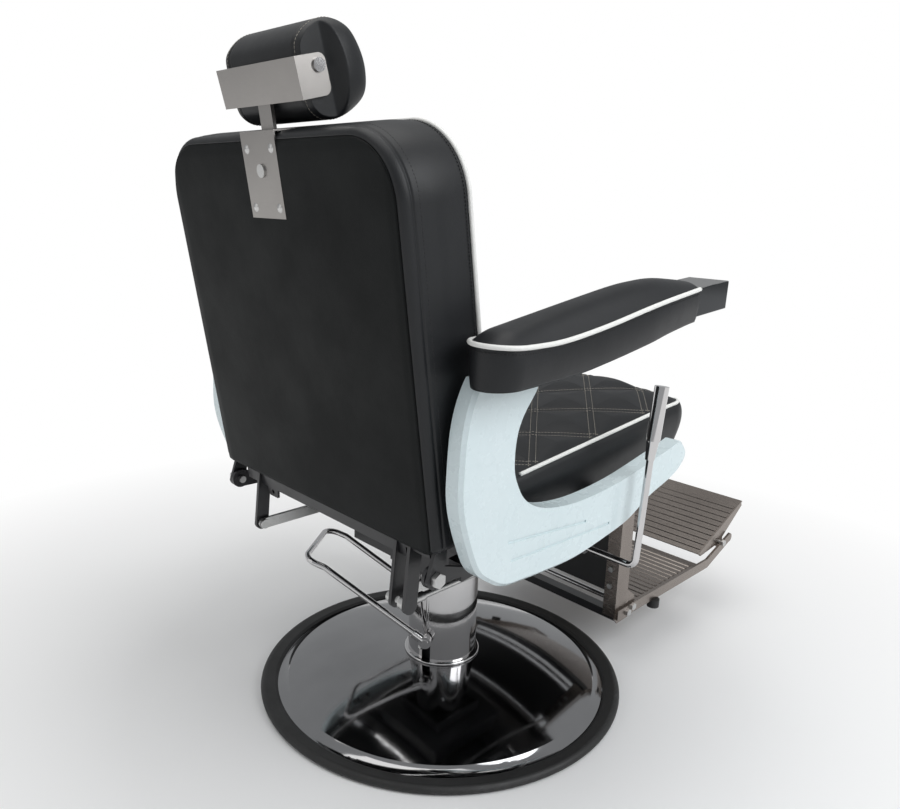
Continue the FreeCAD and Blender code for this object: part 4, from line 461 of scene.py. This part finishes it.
def seatTop(x, y):
    # Arch between the seams, (1 - |x/X|^3.2), that rolls down at the front, with the quilting faded in
    # from the edge.
    reach = 1 - np.abs(np.clip(x / seat["halfWidth"], -1, 1)) ** 3.2
    nose = seatNose(y)
    high = seat["crown"] - seat["noseDrop"] * nose
    edge = smoothStep(seat["halfWidth"] - np.abs(x), 0, 26) * smoothStep(y + seat["front"], 0, 40)
    arch = (high - seatSeam(y)) * reach * (1 - 0.35 * nose)
    return seatSeam(y) + arch + quiltRelief(x, y, quilt["phase"]) * edge


def seatWall(rim):
    # Boxing: bulges by sin(pi t^0.7) and draws in towards the board.
    t = np.linspace(0.04, 1, 26)[:, None]
    offset = seat["bulge"] * np.sin(np.pi * t ** 0.7) - seat["tuck"] * t ** 2 + 0 * rim[None, :, 0]
    height = rim[None, :, 2] + (-seat["boxing"] - rim[None, :, 2]) * t ** 1.1
    return offset, height


def seatAxes(points):
    return points


seatCushion = closedPad("seatCushion", seatPlan, seatTop, seatWall, -seat["boxing"], seat["grid"], leather,
                        seatPlace, seatAxes)
seatRows = quiltRows(seatPlan, seatTop, quilt["phase"], seatPlace, seatAxes, 8)
seatThread = stitchRows("seatThread", seatRows, paleThread, threadSizes)


def edgePath(plan, seam, count):
    # The outline's own edge, from the rear on one side round the front to the rear on the other.
    side = np.linspace(0.86, -1, count)
    across = np.linspace(-1, 1, count)
    a = np.concatenate([np.full(count, -1.0), across[1:], np.full(count - 1, 1.0)])
    b = np.concatenate([side, np.full(count - 1, -1.0), side[::-1][1:]])
    x, y = roundedPlan(a, b, plan)
    return np.stack([x, y, seam(y)], -1)


cordLine = edgePath(seatPlan, seatSeam, 80)
cordWorld = placed(cordLine + [0, 0, 0.8], seatPlace)
cordGrid, cordQuads = tubeSurface(cordWorld, seat["pipingRadius"] / 1000, (0, 0, 1))
seatPiping = makeMesh("seatPiping", cordGrid, cordQuads, pipingVinyl)
seamDown = cordLine + [0, 0, -6.5]
outward = np.concatenate([unit(cordLine[:, :2] - [0, -100]), np.full((len(cordLine), 1), 0.5)], -1)
seamDown[:, :2] += 3.3 * unit(cordLine[:, :2] - [0, -100])
seatSeamThread = stitchRows("seatSeamThread", [(placed(seamDown, seatPlace), outward)], blackThread,
                            {"pitch": 0.0042, "length": 0.0034, "width": 0.001, "rise": 0.0002})
print("seat cushion done")


# ---- back cushion and rear panel

back = {"halfLow": 275.0, "halfTop": 281.0, "length": 535.0, "corner": 88.0, "footCorner": 10.0,
        "seamLow": 107.0, "seamTop": 104.0, "bulge": 27.0, "roll": 14.0, "inset": 10.4, "fullness": 4.0, "phase": 60.0,
        "pipingRadius": 2.9, "grid": 280}
backPlan = {"x0": back["halfLow"] - 2, "x1": back["halfTop"] - 2, "y0": 1.5, "y1": back["length"] - 2,
            "r0": back["footCorner"], "r1": back["corner"]}


def backAxes(points):
    # Pads are worked out with their top upwards; here that top faces the sitter.
    return np.stack([points[:, 0], -points[:, 2], points[:, 1]], -1)


def backSeam(y):
    return back["seamLow"] + (back["seamTop"] - back["seamLow"]) * np.clip(y / back["length"], 0, 1)


def backFront(x, y):
    # Front cover: rises from the seam by bulge (1 - |x/X|^3)(1 - up^4)(1 - down^6), then the quilting.
    half = backPlan["x0"] + (backPlan["x1"] - backPlan["x0"]) * np.clip(y / back["length"], 0, 1)
    up = np.clip((y - 120) / (backPlan["y1"] - 120), 0, 1)
    down = np.clip((150 - y) / (150 - backPlan["y0"]), 0, 1)
    lift = (1 - np.abs(np.clip(x / half, -1, 1)) ** 3.4) * (1 - up ** 4.5) * (1 - 0.7 * down ** 4)
    edge = smoothStep(half - np.abs(x), 0, 30) * smoothStep(backPlan["y1"] - y, 0, 36)
    return backSeam(y) + back["bulge"] * lift + quiltRelief(x, y, back["phase"]) * edge


def backWall(rim):
    # Boxing: full by fullness sin(pi t), then a quarter round of the roll radius on to the rear face.
    t = np.concatenate([np.linspace(0.03, 0.88, 18), np.linspace(0.9, 1, 10)])[:, None]
    straight = back["roll"]
    height = rim[None, :, 2] + (straight - rim[None, :, 2]) * t
    crease = 1.5 * np.exp(-((height - straight - 1) / 1.5) ** 2)
    offset = 2 + back["fullness"] * np.sin(np.pi * t) - 2 * np.cos(np.pi / 2 * t) - crease
    turn = np.linspace(0, np.pi / 2, 10)[1:, None]
    rollHeight = straight * (1 - np.sin(turn)) + 0 * rim[None, :, 0]
    rollOffset = 2 - (back["inset"] - 0.6) * (1 - np.cos(turn)) + 0 * rim[None, :, 0]
    lipHeight = np.array([3.0, 10.5])[:, None] + 0 * rim[None, :, 0]
    lipOffset = np.array([1.4, 1.2])[:, None] - back["inset"] + 0.6 + 0 * rim[None, :, 0]
    return np.concatenate([offset, rollOffset, lipOffset]), np.concatenate([height, rollHeight, lipHeight])


backCushion = closedPad("backCushion", backPlan, backFront, backWall, 10.5, back["grid"], leather,
                        backPlace, backAxes)
backRows = quiltRows(backPlan, backFront, back["phase"], backPlace, backAxes, 8)
backThread = stitchRows("backThread", backRows, paleThread, threadSizes)

panelPlan = {"x0": back["halfLow"] - back["inset"], "x1": back["halfTop"] - back["inset"], "y0": 0.5,
             "y1": back["length"] - back["inset"], "r0": 3.0, "r1": back["corner"] - back["inset"]}


def panelTop(x, y):
    # A board with a thin pad: 1.6 mm of crown that falls away over the last 12 mm.
    half = panelPlan["x0"] + (panelPlan["x1"] - panelPlan["x0"]) * np.clip(y / back["length"], 0, 1)
    reach = np.minimum(half - np.abs(x), panelPlan["y1"] - y)
    return 0.4 + 1.6 * smoothStep(reach, 0, 16)


def panelWall(rim):
    turn = np.linspace(0, np.pi / 2, 5)[1:, None]
    offset = -1.8 + 1.8 * np.sin(turn) + 0 * rim[None, :, 0]
    height = rim[None, :, 2] - 1.8 * (1 - np.cos(turn))
    offset = np.concatenate([offset, np.zeros((1, len(rim)))])
    return offset, np.concatenate([height, np.full((1, len(rim)), -9.6)])


def panelAxes(points):
    return np.stack([points[:, 0], points[:, 2], points[:, 1]], -1)


rearPanel = closedPad("rearPanel", panelPlan, panelTop, panelWall, -9.6, 120, shadedPanelLeather, backPlace,
                      panelAxes)


def archPath(plan, depth, out, count, foot):
    # Up one side, over the top and down the other, at a set depth and distance outside the plan.
    side = np.linspace(foot, 1, count)
    across = np.linspace(-1, 1, count)
    a = np.concatenate([np.full(count, -1.0), across[1:], np.full(count - 1, 1.0)])
    b = np.concatenate([side, np.ones(count - 1), side[::-1][1:]])
    x, y = roundedPlan(a, b, plan)
    flow = np.gradient(np.stack([x, y], -1), axis=0)
    normal = unit(np.stack([-flow[:, 1], flow[:, 0]], -1))
    line = np.stack([x + out * normal[:, 0], y + out * normal[:, 1], depth(y)], -1)
    return line, np.concatenate([normal, np.zeros((len(x), 1))], -1)


cordLine = archPath(backPlan, backSeam, 1.2, 90, -0.9)[0]
world = placed(backAxes(cordLine), backPlace)
cordGrid, cordQuads = tubeSurface(world, back["pipingRadius"] / 1000, (0, -1, 0.16))
backPiping = makeMesh("backPiping", cordGrid, cordQuads, pipingVinyl)
rowLine, rowOut = archPath(backPlan, lambda y: 25.0 + 0 * y, 2.6, 90, -0.98)
rowWorld = placed(backAxes(rowLine), backPlace)
rowTip = placed(backAxes(rowLine + rowOut), backPlace)
frontLine, frontOut = archPath(backPlan, lambda y: backSeam(y) - 8.0, 1.6, 90, -0.9)
frontWorld = placed(backAxes(frontLine), backPlace)
frontTip = placed(backAxes(frontLine + frontOut), backPlace)
seamRows = [(rowWorld, unit(rowTip - rowWorld)), (frontWorld, unit(frontTip - frontWorld))]
backSeamThread = stitchRows("backSeamThread", seamRows, blackThread,
                            {"pitch": 0.0046, "length": 0.0036, "width": 0.0013, "rise": 0.0003})
print("back cushion and panel done")


# ---- arm pads

arm = {"inner": 295.0, "outer": 371.0, "rear": 275.0, "front": 153.0, "taper": 8.0, "swell": 2.5,
       "pipingRadius": 3.2, "sections": 130}
armSeamLine = smoothCurve([(-165, 749.5), (-105, 742.5), (-55, 736), (-7, 728), (81, 711.5), (161, 700),
                           (218, 697.5), (290, 699)], 120)
armTopLine = smoothCurve([(-165, 757), (-127, 761), (-74, 764.5), (-25, 762), (22, 756.5), (107, 742),
                          (184, 728), (220, 721), (290, 707)], 120)
armLowLine = smoothCurve([(-160, 700), (-134, 697.5), (-108, 694), (-70, 688), (-21, 678), (70, 662),
                          (146, 652), (290, 643)], 120)


def lineAt(line, y):
    return np.interp(y, line[:, 0], line[:, 1])


def armSection(y):
    # Half width: straight, narrowing at the front, and a half circle at the rear.
    half = (arm["outer"] - arm["inner"]) / 2
    rest = np.clip((y - (arm["rear"] - half)) / half, 0, 1)
    taper = arm["taper"] * np.clip((-23 - y) / 130, 0, 1) ** 1.6
    middle = (arm["inner"] + arm["outer"]) / 2 - taper / 2
    return middle, (half - taper / 2) * np.sqrt(1 - rest ** 2), rest


def armPad(name, side):
    # Section at y: flat underside, walls full by swell sin(pi t), and a domed top (1 - |s|^2.6) above
    # the seam.
    turn = np.linspace(0, np.pi / 2, 50)
    straight = np.linspace(-arm["front"], arm["rear"] - 37.5, arm["sections"] - 50)
    y = np.concatenate([straight, arm["rear"] - 37.5 + 37.5 * np.sin(turn[1:])])
    middle, half, rest = armSection(y)
    seam, high, low = lineAt(armSeamLine, y), lineAt(armTopLine, y), lineAt(armLowLine, y)
    high = seam + (high - seam) * (1 - rest ** 2.2)
    s = np.linspace(1, -1, 40)
    t = np.linspace(0, 1, 14)[1:]
    domeX = half[:, None] * s
    domeZ = seam[:, None] + (high - seam)[:, None] * (1 - np.abs(s) ** 2.6)
    swell = arm["swell"] * np.sin(np.pi * t ** 0.8) * (1 - 0.4 * rest[:, None] ** 4)
    tuck = 3.0 * t ** 4
    grow = half[:, None] / (half.max()) * (swell - tuck)
    leftX = -(half[:, None] + grow)
    wallZ = seam[:, None] + (low - seam)[:, None] * t
    floorX = np.linspace(-1, 1, 14)[1:-1] * (half[:, None] + grow[:, -1:])
    floorZ = low[:, None] + 0 * floorX
    x = np.concatenate([domeX, leftX, floorX, -leftX[:, ::-1]], 1)
    z = np.concatenate([domeZ, wallZ, floorZ, wallZ[:, ::-1]], 1)
    grid = np.stack([middle[:, None] + x, np.repeat(y[:, None], x.shape[1], 1), z], -1)
    centre = grid[0].mean(0)
    lids = centre + (grid[0] - centre) * np.array([0.0, 0.6, 0.93])[:, None, None]
    grid = np.concatenate([lids, grid])
    grid[..., 0] *= side
    return makeMesh(name, grid / 1000, gridQuads(grid.shape[0], grid.shape[1], wrap=True), leather)


def armLine(side, drop, out):
    # Along the outer seam, round the rear half circle and back along the inner seam.
    half = (arm["outer"] - arm["inner"]) / 2
    y = np.linspace(-arm["front"] + 1, arm["rear"] - half, 90)
    middle, width, rest = armSection(y)
    a = np.linspace(0, np.pi, 60)[1:-1]
    bend = arm["inner"] + half + (half + out) * np.cos(a)
    x = np.concatenate([middle + width + out, bend, (middle - width - out)[::-1]])
    ys = np.concatenate([y, arm["rear"] - half + (half + out) * np.sin(a), y[::-1]])
    line = np.stack([x, ys, lineAt(armSeamLine, ys) - drop], -1)
    straight = np.tile([1.0, 0, 0], (len(y), 1))
    normal = np.concatenate([straight, np.stack([np.cos(a), np.sin(a), 0 * a], -1), -straight])
    return line * [side, 1, 1] / 1000, normal * [side, 1, 1]


armPads = []
for side, word in ((1, "left"), (-1, "right")):
    pad = armPad("armPad_" + word, side)
    line, out = armLine(side, -0.5, 1.4)
    cordGrid, cordQuads = tubeSurface(line, arm["pipingRadius"] / 1000, (0, 0, 1))
    cord = makeMesh("armPiping_" + word, cordGrid, cordQuads, pipingVinyl)
    row, rowOut = armLine(side, 7.0, 1.2)
    thread = stitchRows("armThread_" + word, [(row, rowOut)], blackThread,
                        {"pitch": 0.0044, "length": 0.0034, "width": 0.0012, "rise": 0.0004})
    armPads.append((pad, cord, thread))
print("arm pads done")


# ---- head pad

head = {"halfWidth": 112.0, "capStart": 78.0, "earRoom": 91.0, "around": 140, "seamDepth": 1.6, "round": 2.3}
headOutline = [(-9, 2), (-9, 25), (-9, 48), (-14, 68), (-36, 84), (-64, 88), (-90, 75), (-103, 47),
               (-105.5, 18), (-97, -9), (-74, -24), (-48, -30), (-26, -26), (-13, -14)]


def besideEar(points):
    # The cover lies flat inside the bracket's ears and fills out again in front of them.
    room = head["earRoom"] + 24 * smoothStep(-points[..., 1], 45, 66)
    return np.concatenate([np.clip(points[..., :1], -room[..., None], room[..., None]), points[..., 1:]], -1)


def headPad():
    # The end profile carried along x: full to the cap seam, then drawn in to the end by
    # (1 - q^round)^(1/round).
    profile = smoothCurve(headOutline, head["around"], closed=True)
    centre = np.array([-55.0, 29.0])
    q = np.concatenate([np.zeros(60), np.sin(np.linspace(0, np.pi / 2, 40))])
    body = np.linspace(0, head["capStart"], 60)
    cap = head["capStart"] + (head["halfWidth"] - head["capStart"]) * q[60:]
    x = np.concatenate([body, cap])
    scale = (1 - q ** head["round"]) ** (1 / head["round"])
    seam = head["seamDepth"] * np.exp(-((x - head["capStart"]) / 2.2) ** 2)
    loops = centre + (profile - centre)[None] * scale[:, None, None]
    loops = loops - unit(profile - centre)[None] * seam[:, None, None]
    half = np.concatenate([np.repeat(x[:, None, None], head["around"], 1), loops], -1)
    grid = besideEar(np.concatenate([half[::-1] * [-1, 1, 1], half[1:]]))
    quads = gridQuads(grid.shape[0], grid.shape[1], wrap=True)
    piece = makeMesh("headPad", placed(grid, headPlace), quads, leather)
    rows = []
    beyond = 4.0
    reach = (1 - (beyond / (head["halfWidth"] - head["capStart"])) ** head["round"]) ** (1 / head["round"])
    for side in (1, -1):
        at = np.full((head["around"], 1), side * (head["capStart"] + beyond))
        line = np.concatenate([at, centre + (profile - centre) * reach], -1)
        tip = line + np.concatenate([0 * at, unit(profile - centre)], -1)
        base = placed(line, headPlace)
        rows.append((base, unit(placed(tip, headPlace) - base)))
    return piece, rows


headCushion, headRows = headPad()
headThread = stitchRows("headThread", headRows, paleThread,
                        {"pitch": 0.005, "length": 0.0038, "width": 0.0009, "rise": 0.0})
print("head pad done")


# ---- what rides on what

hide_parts("seat_cushion")
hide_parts("seat_piping")
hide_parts("back_cushion")
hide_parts("back_panel")
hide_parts("back_piping")
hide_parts("headrest_pad")
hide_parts("arm_pad_left")
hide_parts("arm_pad_right")
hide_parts("arm_piping")
for piece in (seatCushion, seatThread, seatPiping, seatSeamThread, *armPads[0], *armPads[1]):
    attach(piece, "seat")
for piece in (backCushion, backThread, rearPanel, backPiping, backSeamThread):
    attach(piece, "back")
for piece in (headCushion, headThread):
    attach(piece, "head_pad")


# ---- floor, light and camera

studio = {"floorRadius": 9.0, "fadeStart": 0.55, "fadeEnd": 1.5, "ambient": 0.46, "keyPower": 48.0,
          "topPower": 34.0, "sidePower": 6.0}
ringRadius = np.concatenate([[0.0], np.geomspace(0.1, studio["floorRadius"], 40)])[:, None]
ringAngle = np.linspace(0, 2 * np.pi, 96, endpoint=False)[None]
floorHeight = 0 * ringRadius * ringAngle - 0.0002
floorGrid = np.stack([ringRadius * np.cos(ringAngle), ringRadius * np.sin(ringAngle), floorHeight], -1)
floorPaint = bpy.data.materials.new("pale floor")
floorPaint.use_nodes = True
tree = floorPaint.node_tree
shader = tree.nodes["Principled BSDF"]
shader.inputs["Base Color"].default_value = (0.86, 0.86, 0.86, 1)
shader.inputs["Roughness"].default_value = 0.7
shader.inputs["Specular IOR Level"].default_value = 0.15
spot = addNode(tree, "ShaderNodeTexCoord", {}).outputs["Object"]
away = addNode(tree, "ShaderNodeVectorMath", {0: spot}, operation="LENGTH").outputs["Value"]
fade = rangeOf(tree, away, studio["fadeStart"], studio["fadeEnd"], 0.0, 1.0)
rays = addNode(tree, "ShaderNodeLightPath", {})
seen = rays.outputs["Is Camera Ray"]
for kind in ("Is Glossy Ray", "Is Transmission Ray"):
    seen = addNode(tree, "ShaderNodeMath", {0: seen, 1: rays.outputs[kind]}, operation="MAXIMUM").outputs[0]
share = addNode(tree, "ShaderNodeMath", {0: seen, 1: fade}, operation="MULTIPLY").outputs[0]
white = addNode(tree, "ShaderNodeEmission", {"Color": (1, 1, 1, 1), "Strength": 1.0}).outputs[0]
blend = addNode(tree, "ShaderNodeMixShader", {0: share, 1: shader.outputs[0], 2: white})
tree.links.new(blend.outputs[0], tree.nodes["Material Output"].inputs["Surface"])
floor = makeMesh("floor", floorGrid, gridQuads(41, 96, wrap=True), floorPaint)
if floor.data.polygons[0].normal.z < 0:
    floor.data.flip_normals()

sky = bpy.data.worlds.new("studio")
bpy.context.scene.world = sky
sky.use_nodes = True
tree = sky.node_tree
rays = addNode(tree, "ShaderNodeLightPath", {})
dome = {"Color": (0.96, 0.98, 1.0, 1), "Strength": studio["ambient"]}
soft = addNode(tree, "ShaderNodeBackground", dome).outputs[0]
bare = addNode(tree, "ShaderNodeBackground", {"Color": (1, 1, 1, 1), "Strength": 1.0}).outputs[0]
mixed = addNode(tree, "ShaderNodeMixShader", {0: rays.outputs["Is Camera Ray"], 1: soft, 2: bare})
tree.links.new(mixed.outputs[0], tree.nodes["World Output"].inputs["Surface"])


def softLight(name, spot, aim, size, power, colour):
    lamp = bpy.data.lights.new(name, "AREA")
    lamp.size = size
    lamp.energy = power
    lamp.color = colour
    holder = bpy.data.objects.new(name, lamp)
    holder.location = spot
    holder.rotation_euler = (Vector(aim) - Vector(spot)).to_track_quat("-Z", "Y").to_euler()
    bpy.context.scene.collection.objects.link(holder)


softLight("key", (-2.4, -0.6, 2.3), (0, 0, 0.6), 1.8, studio["keyPower"], (0.97, 0.985, 1.0))
softLight("top", (0.3, 0.2, 3.2), (0, 0, 0.4), 2.6, studio["topPower"], (1.0, 0.99, 0.97))
softLight("side", (0.8, 2.8, 1.6), (0, 0, 0.5), 1.8, studio["sidePower"], (1.0, 0.97, 0.94))

view = {"spot": (-0.97951, 0.93892, 0.85395), "yaw": 2.3346, "pitch": 0.2404, "roll": 0.0358,
        "focal": 806.76, "width": 900, "sensor": 36}
flat = math.cos(view["pitch"])
ahead = Vector((math.sin(view["yaw"]) * flat, math.cos(view["yaw"]) * flat, -math.sin(view["pitch"])))
level = Vector((math.cos(view["yaw"]), -math.sin(view["yaw"]), 0))
upright = level.cross(ahead)
right = math.cos(view["roll"]) * level + math.sin(view["roll"]) * upright
above = -math.sin(view["roll"]) * level + math.cos(view["roll"]) * upright
lens = bpy.data.cameras.new("camera")
lens.sensor_width = view["sensor"]
lens.lens = view["focal"] * view["sensor"] / view["width"]
camera = bpy.data.objects.new("camera", lens)
camera.matrix_world = Matrix.Translation(view["spot"]) @ Matrix((right, above, -ahead)).transposed().to_4x4()
bpy.context.scene.collection.objects.link(camera)
bpy.context.scene.camera = camera
bpy.context.scene.view_settings.view_transform = "Standard"
print("stage done")
